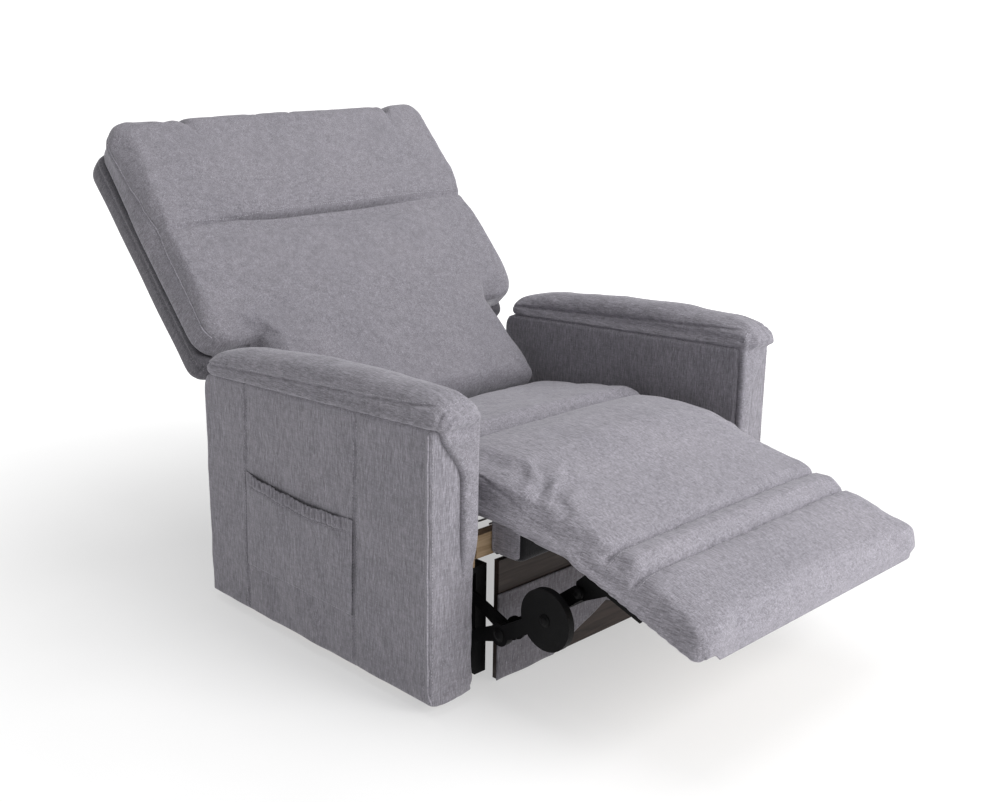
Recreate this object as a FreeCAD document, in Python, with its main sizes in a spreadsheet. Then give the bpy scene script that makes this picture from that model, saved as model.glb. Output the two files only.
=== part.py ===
import FreeCAD, Part
import os
import re
import Sketcher

# Upholstered recliner armchair. X is the width, -Y is the way a sitter faces, +Z is up.
# The chair is modelled reclined, with its footrest out. The origin is on the floor,
# under the middle of that outline. All lengths are millimetres, all angles degrees.

SIZES = {
    # shell of the chair
    "chair_width": 980, "front_y": -377.1, "arm_width": 99, "arm_length": 712,
    "arm_front_height": 534, "arm_rear_height": 503, "glide_height": 13, "glide_size": 44,
    "outer_cover": 28, "board_thick": 18, "front_cover": 26,
    "pad_out": 14, "pad_in": 6, "pad_nose": 30, "pad_thick": 58, "band_width": 40,
    "band_depth": 12, "band_bottom": 245, "gap": 1, "pad_lift": 0.4,
    # side pocket
    "pocket_front": 222, "pocket_rear": 562, "pocket_bottom": 120, "pocket_top": 300,
    "pocket_mouth": 332, "pocket_depth": 14, "pocket_sheet": 4,
    # seat
    "seat_half": 372, "pad_half": 351, "box_half": 306, "box_front": 29, "box_low": 249,
    "box_high": 338, "box_cover": 30, "rail_low": 236, "rail_high": 296, "rail_width": 46,
    "rail_front": 48, "rail_rear": 610, "crease_y": 216, "seat_rear": 560, "seat_under": 303,
    "seat_rear_top": 346, "wing_thick": 6, "wing_bottom": 226,
    "crease_top": 412, "nose_top": 424, "nose_front": 62,
    "spring_wire": 4, "spring_count": 5, "spring_half_width": 28, "spring_pitch": 24,
    # lower front
    "skirt_top": 180, "skirt_back": 22, "skirt_board": 12, "skirt_cloth": 5,
    "skirt_half": 308, "skirt_rise_x": -155, "skirt_low": 4,
    "board_top": 246, "notch_half": 32, "notch_low": 172,
    "dust_y": 660, "dust_thick": 3, "dust_low": 24, "dust_high": 330,
    "post_inner": 314, "post_width": 28, "post_depth": 28, "post_low": 16,
    # backrest, in its own frame: up the back and forward of the hinge line
    "hinge_y": 586, "hinge_z": 320, "recline": 43.5, "back_over": 71, "low_half": 348,
    "back_low": 34, "wing_low": 262, "seam_up": 580, "back_top": 856, "cushion_back": 11,
    "cushion_face": 70, "shell_top": 834, "shell_low": 227, "shell_back": 88,
    "shell_wall": 14, "shell_gap": 3, "post_w": 45, "post_d": 50, "hinge_pin": 6,
    "plate_thick": 4, "back_rail": 70,
    # footrest, in its own frame: forward from the board's rear end, and up from its underside
    "board_y": -218, "board_z": 318, "foot_slope": 18, "foot_length": 265, "foot_board": 12,
    "foot_half": 308, "foot_pad_thick": 34, "foot_rim": 10, "bar_drop": 42, "bar_inner": 311,
    "pivot_back": 12, "pivot_drop": 70, "gusset_gap": 3, "stop_width": 22, "stop_along": 176,
    "stop_rise": 6, "bar_end": 118, "bar_lip": 15,
    # swing arms
    "axle_y": -39, "axle_z": 138, "axle_radius": 10, "arm_plane": 319, "arm_thick": 5,
    "arm_half_width": 14, "hub_radius": 22, "disc_plane": 353, "disc_thick": 14,
    "disc_radius": 57, "disc_y": -150, "disc_z": 205, "bore_play": 0.4, "crank_length": 70,
    "crank_x": 150, "crank_thick": 6, "crank_lean": 34.85, "crank_rim": 5, "tube_share": 0.16,
    "cross_radius": 8, "eye_radius": 11,
    # actuator
    "rod_radius": 8, "tube_radius": 15, "rod_play": 1.5, "motor_radius": 29,
    "motor_length": 120, "gearbox": 66, "lug_width": 24, "rear_tube": 30, "rear_tube_y": 600, "pin_radius": 5,
    "rod_z": 202, "tube_front": 190, "tube_rear": 450, "fork_gap": 2, "fork_thick": 4,
}

doc = FreeCAD.newDocument("Recliner")
sheet = doc.addObject("Spreadsheet::Sheet", "Sizes")
for row, (alias, value) in enumerate(SIZES.items(), start=1):
    sheet.set(f"A{row}", alias)
    sheet.set(f"B{row}", str(value))
    sheet.setAlias(f"B{row}", alias)
doc.recompute()

NODES = []
SIDES = (("right", -1), ("left", 1))      # the sitter's right is at -X
X_AXIS = FreeCAD.Vector(1, 0, 0)


def size(alias):
    return float(sheet.get(alias))


def formula(text):
    """Write each size's name in text as a reference to the sheet."""
    return re.sub(r"[a-z][a-z_]+", lambda m: f"Sizes.{m[0]}" if m[0] in SIZES else m[0], str(text))


def place(obj, x="0", y="0", z="0", tilt=None):
    """Bind a placement; tilt is a turn about X."""
    obj.Placement = FreeCAD.Placement(FreeCAD.Vector(), FreeCAD.Rotation(X_AXIS, 0))
    if tilt is not None:
        obj.Placement = FreeCAD.Placement(FreeCAD.Vector(), FreeCAD.Rotation(X_AXIS, 10))
        obj.setExpression("Placement.Rotation.Angle", formula(tilt))
    for letter, text in zip("xyz", (x, y, z)):
        obj.setExpression(f"Placement.Base.{letter}", formula(text))


def node(obj, label):
    obj.Label = label
    NODES.append(obj)
    return obj


def box(name, x, y, z, dx, dy, dz, **kw):
    """A plain block from its lowest corner and its three sizes."""
    obj = doc.addObject("Part::Box", name + "_block")
    for prop, text in (("Length", dx), ("Width", dy), ("Height", dz)):
        obj.setExpression(prop, formula(text))
    place(obj, x, y, z, **kw)
    return obj


def rod(name, x, y, z, radius, length, **kw):
    """A cylinder along X from its lower end."""
    obj = doc.addObject("Part::Cylinder", name + "_rod")
    obj.setExpression("Radius", formula(radius))
    obj.setExpression("Height", formula(length))
    obj.Placement = FreeCAD.Placement(FreeCAD.Vector(), FreeCAD.Rotation(FreeCAD.Vector(0, 1, 0), 90))
    for letter, text in zip("xyz", (x, y, z)):
        obj.setExpression(f"Placement.Base.{letter}", formula(text))
    return obj


def origin_plane(body, role):
    return next(f for f in body.Origin.OriginFeatures if f.Role == role)


def outline(body, name, plane, points):
    """A closed sketch of straight lines, every corner tied to the sheet."""
    sketch = body.newObject("Sketcher::SketchObject", name)
    sketch.AttachmentSupport = [(origin_plane(body, plane), "")]
    sketch.MapMode = "FlatFace"
    guess = [(probe(h), probe(v)) for h, v in points]
    count = len(points)
    for i in range(count):
        start = FreeCAD.Vector(*guess[i], 0)
        end = FreeCAD.Vector(*guess[(i + 1) % count], 0)
        sketch.addGeometry(Part.LineSegment(start, end), False)
    for i in range(count):
        sketch.addConstraint(Sketcher.Constraint("Coincident", i, 2, (i + 1) % count, 1))
    for i, (h, v) in enumerate(points):
        for kind, text, number in (("DistanceX", h, guess[i][0]), ("DistanceY", v, guess[i][1])):
            at = sketch.addConstraint(Sketcher.Constraint(kind, -1, 1, i, 1, number))
            sketch.setExpression(f"Constraints[{at}]", formula(text))
    return sketch


scratch = doc.addObject("App::FeaturePython", "Probe")
scratch.addProperty("App::PropertyFloat", "Result")


def probe(text):
    """The number that a formula gives now."""
    scratch.setExpression("Result", formula(text))
    scratch.recompute()
    return scratch.Result


def plate(name, label, *args, **kw):
    """A padded outline that is a node by itself."""
    return node(slab(name, *args, **kw), label)


def slab(name, points, x_low, thick, y="0", z="0", tilt=None, plane="YZ_Plane", round_to=None):
    """A body: an outline padded by its thickness, with its long edges or all edges rounded."""
    body = doc.addObject("PartDesign::Body", name)
    sketch = outline(body, name + "_outline", plane, points)
    pad = body.newObject("PartDesign::Pad", name + "_pad")
    pad.Profile = sketch
    pad.setExpression("Length", formula(thick))
    sketch.Visibility = False
    if plane == "YZ_Plane":
        place(body, x_low, y, z, tilt)
    doc.recompute()
    if round_to:
        radius, which = round_to
        soften(body, pad, name, radius, which)
    return body


def soften(body, base, name, radius, which):
    """Round the edges that `which` picks."""
    edges = [f"Edge{i + 1}" for i, edge in enumerate(base.Shape.Edges) if which(edge)]
    fillet = body.newObject("PartDesign::Fillet", name + "_round")
    fillet.Base = (base, edges)
    fillet.setExpression("Radius", formula(radius))
    body.Tip = fillet
    doc.recompute()


def across(edge):
    """Edges that run along X."""
    a, b = edge.Vertexes[0].Point, edge.Vertexes[-1].Point
    return abs(a.x - b.x) > 1


def pad_crown(edge):
    """The arm pad's upper edges, well above the arm panel."""
    return edge.BoundBox.ZMin > size("arm_front_height") + size("pad_thick") / 3


def side_x(side, inner, thick):
    """Lowest x of a piece that spans inner to inner + thick on one side."""
    return inner if side > 0 else f"-({inner}) - ({thick})"


def joined(name, label, parts):
    """One node of several solids or one fused solid."""
    fuse = doc.addObject("Part::MultiFuse", name)
    fuse.Shapes = parts
    return node(fuse, label)


def group(name, label, parts):
    """One node that keeps its solids apart."""
    compound = doc.addObject("Part::Compound", name)
    compound.Links = parts
    return node(compound, label)


INNER = "chair_width / 2 - arm_width"
BACK_HALF = "(chair_width / 2 - arm_width + back_over)"


def arm_top(y_text):
    """Height of the arm panel's sloping top at a distance y behind the arm's front."""
    return f"arm_front_height - (arm_front_height - arm_rear_height) * ({y_text}) / arm_length"


def pad_seat(y_text):
    """Underside of the arm pad, just above the arm panel."""
    return arm_top(y_text) + " + pad_lift"


def arm_profile(front, rear):
    return [(f"front_y + {front}", "glide_height"), (f"front_y + {rear}", "glide_height"),
            (f"front_y + {rear}", arm_top(rear)), (f"front_y + {front}", arm_top(front))]


def make_arm(word, side):
    """Wooden side board between an outer and an inner cover, a front cover, a band and a pad."""
    cap = word.capitalize()
    core = "chair_width / 2 - outer_cover - board_thick"
    profile = arm_profile("front_cover", "arm_length")
    inner_thick = "arm_width - outer_cover - board_thick"
    plate(f"ArmBoard{cap}", f"arm_board_{word}", arm_profile("front_cover", "arm_length - front_cover"),
          side_x(side, core, "board_thick"), "board_thick")
    plate(f"ArmInner{cap}", f"arm_inner_cover_{word}", profile, side_x(side, INNER, inner_thick), inner_thick)
    plate(f"ArmFront{cap}", f"arm_front_cover_{word}", arm_profile("0", "front_cover"),
          side_x(side, INNER, "arm_width"), "arm_width")
    outer = plate(f"ArmOuter{cap}", f"arm_outer_cover_{word}", profile,
                  side_x(side, "chair_width / 2 - outer_cover", "outer_cover"), "outer_cover")
    if word == "right":
        pocket(outer)
    nose = [("front_y + arm_length - pad_in", pad_seat("arm_length - pad_in")),
            ("front_y + arm_length - pad_in", arm_top("arm_length - pad_in") + " + pad_thick * 0.5"),
            ("front_y + arm_length - 52", arm_top("arm_length - 52") + " + pad_thick * 0.82"),
            ("front_y + arm_length * 0.27", arm_top("arm_length * 0.27") + " + pad_thick + 9"),
            ("front_y", "arm_front_height + pad_thick - 5"),
            ("front_y - pad_nose", "arm_front_height + pad_thick * 0.6"),
            ("front_y - pad_nose", "arm_front_height - 8"),
            ("front_y - gap", "arm_front_height - 8"),
            ("front_y - gap", pad_seat("-gap"))]
    wide = "arm_width + pad_out + pad_in"
    plate(f"ArmPad{cap}", f"arm_pad_{word}", nose, side_x(side, INNER + " - pad_in", wide), wide,
          round_to=("pad_out", pad_crown))
    plate(f"ArmBand{cap}", f"arm_band_{word}",
          [("front_y - band_depth", "arm_front_height - 10"), ("front_y", "arm_front_height - 10"),
           ("front_y", "band_bottom"), ("front_y - band_depth * 0.3", "band_bottom")],
          side_x(side, INNER, "band_width"), "band_width")


def pocket(outer):
    """A shallow recess in the outer cover, closed by a cloth sheet up to the pocket's mouth."""
    cut = outline(outer, "PocketRecess", "YZ_Plane",
                  [("front_y + pocket_front", "pocket_bottom"), ("front_y + pocket_rear", "pocket_bottom"),
                   ("front_y + pocket_rear", "pocket_mouth"), ("front_y + pocket_front", "pocket_mouth")])
    recess = outer.newObject("PartDesign::Pocket", "PocketCut")
    recess.Profile = cut
    recess.setExpression("Length", formula("pocket_depth"))
    recess.Reversed = True
    outer.Tip = recess
    doc.recompute()
    plate("SidePocket", "side_pocket",
          [("front_y + pocket_front", "pocket_bottom"), ("front_y + pocket_rear", "pocket_bottom"),
           ("front_y + pocket_rear", "pocket_top"), ("front_y + pocket_front", "pocket_top")],
          "-chair_width / 2", "pocket_sheet")


def make_base():
    """Glides, lower front, posts, rear tube, rails, springs and seat pads."""
    glides = []
    for word, side in SIDES:
        x = side_x(side, "chair_width / 2 - arm_width / 2 - glide_size / 2", "glide_size")
        for spot, y in (("Front", "front_y + glide_size"), ("Rear", "front_y + arm_length - glide_size * 2")):
            glides.append(box(f"Glide{word}{spot}", x, y, "0", "glide_size", "glide_size", "glide_height"))
    group("Glides", "floor_glides", glides)
    wood = doc.addObject("PartDesign::Body", "FrontBoard")
    edge = outline(wood, "FrontBoard_outline", "XZ_Plane",
                   [("-skirt_half", "skirt_low"), ("skirt_half", "skirt_low"), ("skirt_half", "board_top"),
                    ("crank_x + notch_half", "board_top"), ("crank_x + notch_half", "notch_low"),
                    ("crank_x - notch_half", "notch_low"), ("crank_x - notch_half", "board_top"),
                    ("-skirt_half", "board_top")])
    planed = wood.newObject("PartDesign::Pad", "FrontBoard_pad")
    planed.Profile = edge
    planed.setExpression("Length", formula("skirt_board"))
    place(wood, "0", "front_y + skirt_back + skirt_board", "0")
    node(wood, "front_board")
    tube = box("RearTube", f"-({INNER})", "front_y + rear_tube_y", "rod_z - rear_tube / 2", f"2 * ({INNER})",
               "rear_tube", "rear_tube")
    lug = box("MotorLug", "crank_x - lug_width / 2", "front_y + tube_rear + gearbox", "rod_z - lug_width / 2",
              "lug_width", "rear_tube_y - tube_rear - gearbox", "lug_width")
    joined("RearFrame", "rear_cross_tube", [tube, lug])
    node(box("DustCover", f"-({INNER} - gap)", "front_y + dust_y", "dust_low", f"2 * ({INNER} - gap)",
             "dust_thick", "dust_high - dust_low"), "rear_dust_cover")
    cloth = doc.addObject("PartDesign::Body", "SkirtCloth")
    shape = outline(cloth, "SkirtCloth_outline", "XZ_Plane",
                    [("-skirt_half", "skirt_low"), ("skirt_rise_x", "skirt_low"),
                     ("0", "skirt_top * 0.42"), ("-skirt_rise_x", "skirt_low"), ("skirt_half", "skirt_low"),
                     ("skirt_half", "skirt_top"), ("-skirt_half", "skirt_top")])
    pad = cloth.newObject("PartDesign::Pad", "SkirtCloth_pad")
    pad.Profile = shape
    pad.setExpression("Length", formula("skirt_cloth"))
    place(cloth, "0", "front_y + skirt_back", "0")
    node(cloth, "front_skirt")
    group("HingePins", "back_hinge_pins", [make_side(word, side) for word, side in SIDES])
    rail = f"{INNER} - rail_width - plate_thick"
    for label, y in (("front", "front_y + rail_front"), ("rear", "front_y + seat_rear - box_cover")):
        node(box(f"SeatRail{label}", f"-({rail})", y, "rail_low + 15", f"2 * ({rail})", "box_cover * 0.8",
                 "rail_high - rail_low - 15"), f"seat_rail_{label}")
    seat_springs()
    front = slab(
        "SeatBox",
          [("front_y - box_front", "box_low + 12"), ("front_y - box_front + box_cover", "box_low"),
           ("front_y + rail_front", "box_low"), ("front_y + rail_front", "box_high"),
           ("front_y - box_front", "box_high")], "-box_half", "2 * box_half")
    wings = [box(f"BorderWing{word}", side_x(side, "box_half - gap", f"{INNER} - box_half + gap"),
                 "front_y + rail_front - wing_thick - gap", "wing_bottom",
                 f"{INNER} - box_half + gap", "wing_thick", "box_high - wing_bottom")
             for word, side in SIDES]
    joined("SeatBorder", "seat_front_border", [front, *wings])
    plate("SeatCushion", "seat_cushion",
          [("front_y + crease_y + gap", "seat_under"), ("front_y + seat_rear", "seat_under"),
           ("front_y + seat_rear", "seat_rear_top"), ("front_y + seat_rear * 0.72", "seat_rear_top + 30"),
           ("front_y + crease_y + 80", "crease_top - 16"), ("front_y + crease_y + gap", "crease_top - 8")],
          "-seat_half", "2 * seat_half", round_to=("seat_under / 60", across))
    plate("ChaisePad", "chaise_pad",
          [("front_y - nose_front", "box_high + gap"), ("front_y + crease_y", "box_high + gap"),
           ("front_y + crease_y", "crease_top - 8"), ("front_y + crease_y * 0.55", "nose_top"),
           ("front_y + crease_y * 0.1", "nose_top"), ("front_y - nose_front", "nose_top - 24")],
          "-pad_half", "2 * pad_half", round_to=("seat_under / 60", across))
    lean = "foot_slope"
    low_end = "front_y + board_y - foot_board * sin(foot_slope) + gusset_gap"
    high_end = f"{low_end} - foot_pad_thick * sin(foot_slope)"
    plate("ChaiseGusset", "chaise_gusset",
          [(low_end, f"board_z + foot_board * cos({lean}) + gap"),
           ("front_y - nose_front - gap", "box_high + gap"),
           ("front_y - nose_front - gap", "nose_top - 26"),
           (high_end, f"board_z + (foot_board + foot_pad_thick) * cos({lean})")],
          "-pad_half", "2 * pad_half")


def make_side(word, side):
    """One side's seat rail, front post, hub bracket and back hinge plate; it returns the hinge pin."""
    cap = word.capitalize()
    rail = "chair_width / 2 - arm_width - rail_width"
    node(box(f"SideRail{cap}", side_x(side, rail, "rail_width"), "front_y + rail_front", "rail_low",
             "rail_width", "rail_rear - rail_front", "rail_high - rail_low"), f"seat_side_rail_{word}")
    leg = box(f"Post{cap}", side_x(side, "post_inner", "post_width"), "front_y + rail_front", "post_low",
              "post_width", "post_depth", "rail_low - post_low")
    arm = box(f"PostTop{cap}", side_x(side, "post_inner", f"{INNER} - post_inner"), "front_y + rail_front",
              "rail_low - 12", f"{INNER} - post_inner", "post_depth", "12")
    joined(f"FrontPost{cap}", f"front_post_{word}", [leg, arm])
    hub = "hub_radius"
    plate(f"HubBracket{cap}", f"hub_bracket_{word}",
          [("front_y + rail_front + post_depth", "axle_z + 60"),
           ("front_y + axle_y + 5", f"axle_z + {hub}"), (f"front_y + axle_y - {hub}", "axle_z + 9"),
           (f"front_y + axle_y - {hub}", "axle_z - 9"), ("front_y + axle_y + 5", f"axle_z - {hub}"),
           ("front_y + rail_front + post_depth", "axle_z - 60"),
           ("front_y + rail_front + post_depth", "axle_z - 40"),
           (f"front_y + axle_y + {hub} + 12", "axle_z"),
           ("front_y + rail_front + post_depth", "axle_z + 40")],
          side_x(side, "post_inner + post_width", "plate_thick"), "plate_thick")
    bore_through(NODES[-1], f"HubBore{cap}", "front_y + axle_y", "axle_z", "axle_radius + bore_play")
    pivot = [("front_y + hinge_y - 110", "rail_low + 6"), ("front_y + hinge_y - 10", "rail_low + 6"),
             ("front_y + hinge_y + 16", "hinge_z - 18"), ("front_y + hinge_y + 16", "hinge_z + 14"),
             ("front_y + hinge_y - 12", "hinge_z + 14"), ("front_y + hinge_y - 24", "rail_high - 2"),
             ("front_y + hinge_y - 110", "rail_high - 2")]
    plane_x = f"{INNER} - rail_width - plate_thick"
    plate(f"HingePlate{cap}", f"back_hinge_plate_{word}", pivot,
          side_x(side, plane_x, "plate_thick"), "plate_thick")
    inner_end = f"{plane_x} - plate_thick - 3"
    return rod(f"HingePin{cap}", side_x(side, inner_end, "plate_thick + 3"), "front_y + hinge_y",
               "hinge_z", "hinge_pin", "plate_thick + 3")


def bore_through(body, name, y, z, radius, tilt=None):
    """Cut a round hole along X right through a plate."""
    sketch = body.newObject("Sketcher::SketchObject", name)
    sketch.AttachmentSupport = [(origin_plane(body, "YZ_Plane"), "")]
    sketch.MapMode = "FlatFace"
    centre = FreeCAD.Vector(probe(y), probe(z), 0)
    sketch.addGeometry(Part.Circle(centre, FreeCAD.Vector(0, 0, 1), probe(radius)), False)
    for kind, text in (("DistanceX", y), ("DistanceY", z)):
        at = sketch.addConstraint(Sketcher.Constraint(kind, -1, 1, 0, 3, probe(text)))
        sketch.setExpression(f"Constraints[{at}]", formula(text))
    at = sketch.addConstraint(Sketcher.Constraint("Radius", 0, probe(radius)))
    sketch.setExpression(f"Constraints[{at}]", formula(radius))
    before = body.Shape.Volume
    hole = body.newObject("PartDesign::Pocket", name + "_cut")
    hole.Profile = sketch
    hole.Type = "ThroughAll"
    hole.Midplane = True
    body.Tip = hole
    doc.recompute()
    if body.Shape.Volume >= before:
        raise RuntimeError(f"{name} cut nothing")


def zigzag(length, half_width, pitch, wire):
    """A flat serpentine spring along Y, of straight runs and half-round turns."""
    edges = []
    turn = pitch / 2
    runs = int(length // pitch)
    for i in range(runs):
        y = i * pitch
        way = 1 if i % 2 == 0 else -1
        a = FreeCAD.Vector(-way * half_width, y, 0)
        b = FreeCAD.Vector(way * half_width, y, 0)
        edges.append(Part.LineSegment(a, b).toShape())
        if i < runs - 1:
            mid = FreeCAD.Vector(way * (half_width + turn), y + turn, 0)
            edges.append(Part.Arc(b, mid, FreeCAD.Vector(way * half_width, y + pitch, 0)).toShape())
    path = Part.Wire(edges)
    profile = Part.Wire(Part.makeCircle(wire / 2, FreeCAD.Vector(-half_width, 0, 0), FreeCAD.Vector(1, 0, 0)))
    return path.makePipeShell([profile], True, False)


def seat_springs():
    """Serpentine springs from the front rail to the rear rail, side by side."""
    length = size("seat_rear") - size("box_cover") * 2 - size("rail_front") - 12
    spring = zigzag(length, size("spring_half_width"), size("spring_pitch"), size("spring_wire"))
    count = int(size("spring_count"))
    pitch = 2 * size("box_half") / count
    row = []
    for i in range(count):
        one = spring.copy()
        one.translate(FreeCAD.Vector((i - (count - 1) / 2) * pitch, 0, 0))
        row.append(one)
    obj = doc.addObject("Part::Feature", "SeatSprings")
    obj.Shape = Part.makeCompound(row)
    obj.Placement = FreeCAD.Placement(
        FreeCAD.Vector(0, size("front_y") + size("rail_front") + size("box_cover") + 6,
                       size("rail_high") - size("spring_wire")), FreeCAD.Rotation())
    node(obj, "seat_springs")


def back(points):
    """Points given up the back and forward of the hinge, as sketch coordinates."""
    return [(f"-({forward})", up) for up, forward in points]


def make_back():
    """Outer shell, wooden posts and rails, springs, two cushions and the hinge brackets."""
    at = dict(y="front_y + hinge_y", z="hinge_z", tilt="-recline")
    wide = f"2 * {BACK_HALF}"
    rear = "-shell_back"
    front = "-cushion_back - shell_gap"
    deep = f"{front} - post_d"
    shell = plate("BackShell", "back_shell",
                  back([("shell_low + 29", front), ("shell_low", rear), ("shell_top", rear),
                        ("shell_top", front)]), f"-{BACK_HALF}", wide, **at)
    hollow = outline(shell, "ShellHollow", "YZ_Plane",
                     back([("shell_low - gap", "0"), ("shell_low - gap", deep),
                           ("shell_low + shell_wall", deep),
                           ("shell_low + shell_wall", f"{rear} + shell_wall"),
                           ("shell_top - shell_wall", f"{rear} + shell_wall"),
                           ("shell_top - shell_wall", "0")]))
    cavity = shell.newObject("PartDesign::Pocket", "ShellHollow_cut")
    cavity.Profile = hollow
    cavity.setExpression("Length", formula(f"2 * {BACK_HALF} - 2 * shell_wall"))
    cavity.Reversed = True
    hollow.setExpression("AttachmentOffset.Base.z", formula("shell_wall"))
    shell.Tip = cavity
    doc.recompute()
    low = "shell_low + 29 + shell_wall + gap"
    post_x = f"{INNER} - rail_width - plate_thick - 1"
    for word, side in SIDES:
        cap = word.capitalize()
        plate(f"BackPost{cap}", f"back_post_{word}",
              back([(low, deep), ("shell_top - shell_wall - gap", deep),
                    ("shell_top - shell_wall - gap", f"{deep} + post_d"), (low, f"{deep} + post_d")]),
              side_x(side, post_x, "post_w"), "post_w", **at)
        plate(f"BackBracket{cap}", f"back_bracket_{word}",
              back([("-16", "-10"), ("-10", "14"), ("14", "14"), ("30", "-16"), ("wing_low + 90", "-16"),
                    ("wing_low + 90", "-38"), ("30", "-38")]),
              side_x(side, f"{post_x} - plate_thick", "plate_thick"), "plate_thick", **at)
        bore_through(NODES[-1], f"BackBore{cap}", "0", "0", "hinge_pin + 0.05")
    rails = []
    for spot, up in (("Lower", low), ("Upper", "shell_top - shell_wall - gap - back_rail")):
        rails.append(box(f"BackRail{spot}", f"-({post_x})", f"-({deep}) - post_d / 2", up,
                         f"2 * ({post_x})", "post_d / 2", "back_rail"))
    place(group("BackRails", "back_rails", rails), **at)
    back_springs(deep)
    face = "cushion_face"
    plate("LumbarCushion", "lower_back_cushion",
          back([("wing_low", "-cushion_back"), ("wing_low", f"{face} - 10"), ("wing_low + 120", face),
                ("seam_up - gap", f"{face} - 8"), ("seam_up - gap", "-cushion_back")]),
          f"-{BACK_HALF}", wide, round_to=("cushion_back", across), **at)
    plate("LumbarTongue", "lumbar_cushion",
          back([("back_low", "-cushion_back"), ("back_low", f"{face} - 16"), ("back_low + 80", face),
                ("wing_low - gap", f"{face} - 10"), ("wing_low - gap", "-cushion_back")]),
          "-low_half", "2 * low_half", round_to=("cushion_back", across), **at)
    plate("HeadCushion", "headrest_cushion",
          back([("seam_up + gap", "-cushion_back"), ("seam_up + gap", f"{face} - 8"),
                ("seam_up + 90", f"{face} + 22"), ("back_top - 30", f"{face} + 20"),
                ("back_top", f"{face} - 6"), ("back_top", "-cushion_back")]),
          f"-{BACK_HALF}", wide, round_to=("cushion_back", across), **at)


def back_springs(deep):
    """Serpentine springs up the back, between the two rails."""
    length = size("shell_top") - size("shell_low") - 2 * size("back_rail") - 90
    spring = zigzag(length, size("spring_half_width"), size("spring_pitch"), size("spring_wire"))
    spring.rotate(FreeCAD.Vector(), X_AXIS, 90)
    count = int(size("spring_count"))
    pitch = 2 * size("box_half") / count
    row = []
    for i in range(count):
        one = spring.copy()
        one.translate(FreeCAD.Vector((i - (count - 1) / 2) * pitch, size("cushion_back") + 25,
                                     size("shell_low") + size("back_rail") + 60))
        row.append(one)
    obj = doc.addObject("Part::Feature", "BackSprings")
    obj.Shape = Part.makeCompound(row)
    obj.Placement = FreeCAD.Placement(
        FreeCAD.Vector(0, size("front_y") + size("hinge_y"), size("hinge_z")),
        FreeCAD.Rotation(X_AXIS, -size("recline")))
    node(obj, "back_springs")


def foot(points):
    """Points given forward from the board's rear end and up from its underside."""
    return [(f"-({along})", up) for along, up in points]


def make_footrest():
    """Board, pad, two steel bars with pivot eyes, and rubber stops at their front ends."""
    at = dict(y="front_y + board_y", z="board_z", tilt="foot_slope")
    plate("FootBoard", "footrest_board",
          foot([("0", "0"), ("foot_length", "0"), ("foot_length", "foot_board"), ("0", "foot_board")]),
          "-foot_half", "2 * foot_half", **at)
    top = "foot_board + foot_pad_thick"
    plate("FootPad", "footrest_pad",
          foot([("gusset_gap", "foot_board + gap"), ("foot_length + gap", "foot_board + gap"),
                ("foot_length + gap", "0"), ("foot_length + foot_rim", "0"),
                ("foot_length + foot_rim", top + " - 8"), ("foot_length - 12", top), ("gusset_gap", top)]),
          "-pad_half", "2 * pad_half", round_to=("gusset_gap", across), **at)
    stops = []
    for word, side in SIDES:
        cap = word.capitalize()
        plate(f"FootBar{cap}", f"footrest_bar_{word}",
              foot([("-pivot_back - 15", "-pivot_drop + 12"), ("-pivot_back - 9", "-pivot_drop - 12"),
                    ("-pivot_back + 12", "-pivot_drop - 12"), ("40", "-bar_drop"), ("bar_end", "-bar_drop"),
                    ("bar_end + 12", "-bar_lip"), ("foot_length - 20", "-bar_lip"),
                    ("foot_length - 20", "0"), ("4", "0")]),
              side_x(side, "bar_inner", "plate_thick"), "plate_thick", **at)
        stops.append(box(f"Stop{cap}", side_x(side, "bar_inner - stop_width", "stop_width"),
                         "-stop_along - stop_width", "stop_rise - bar_drop", "stop_width", "stop_width",
                         "bar_drop - stop_rise"))
    place(group("FootStops", "footrest_stops", stops), **at)


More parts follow.
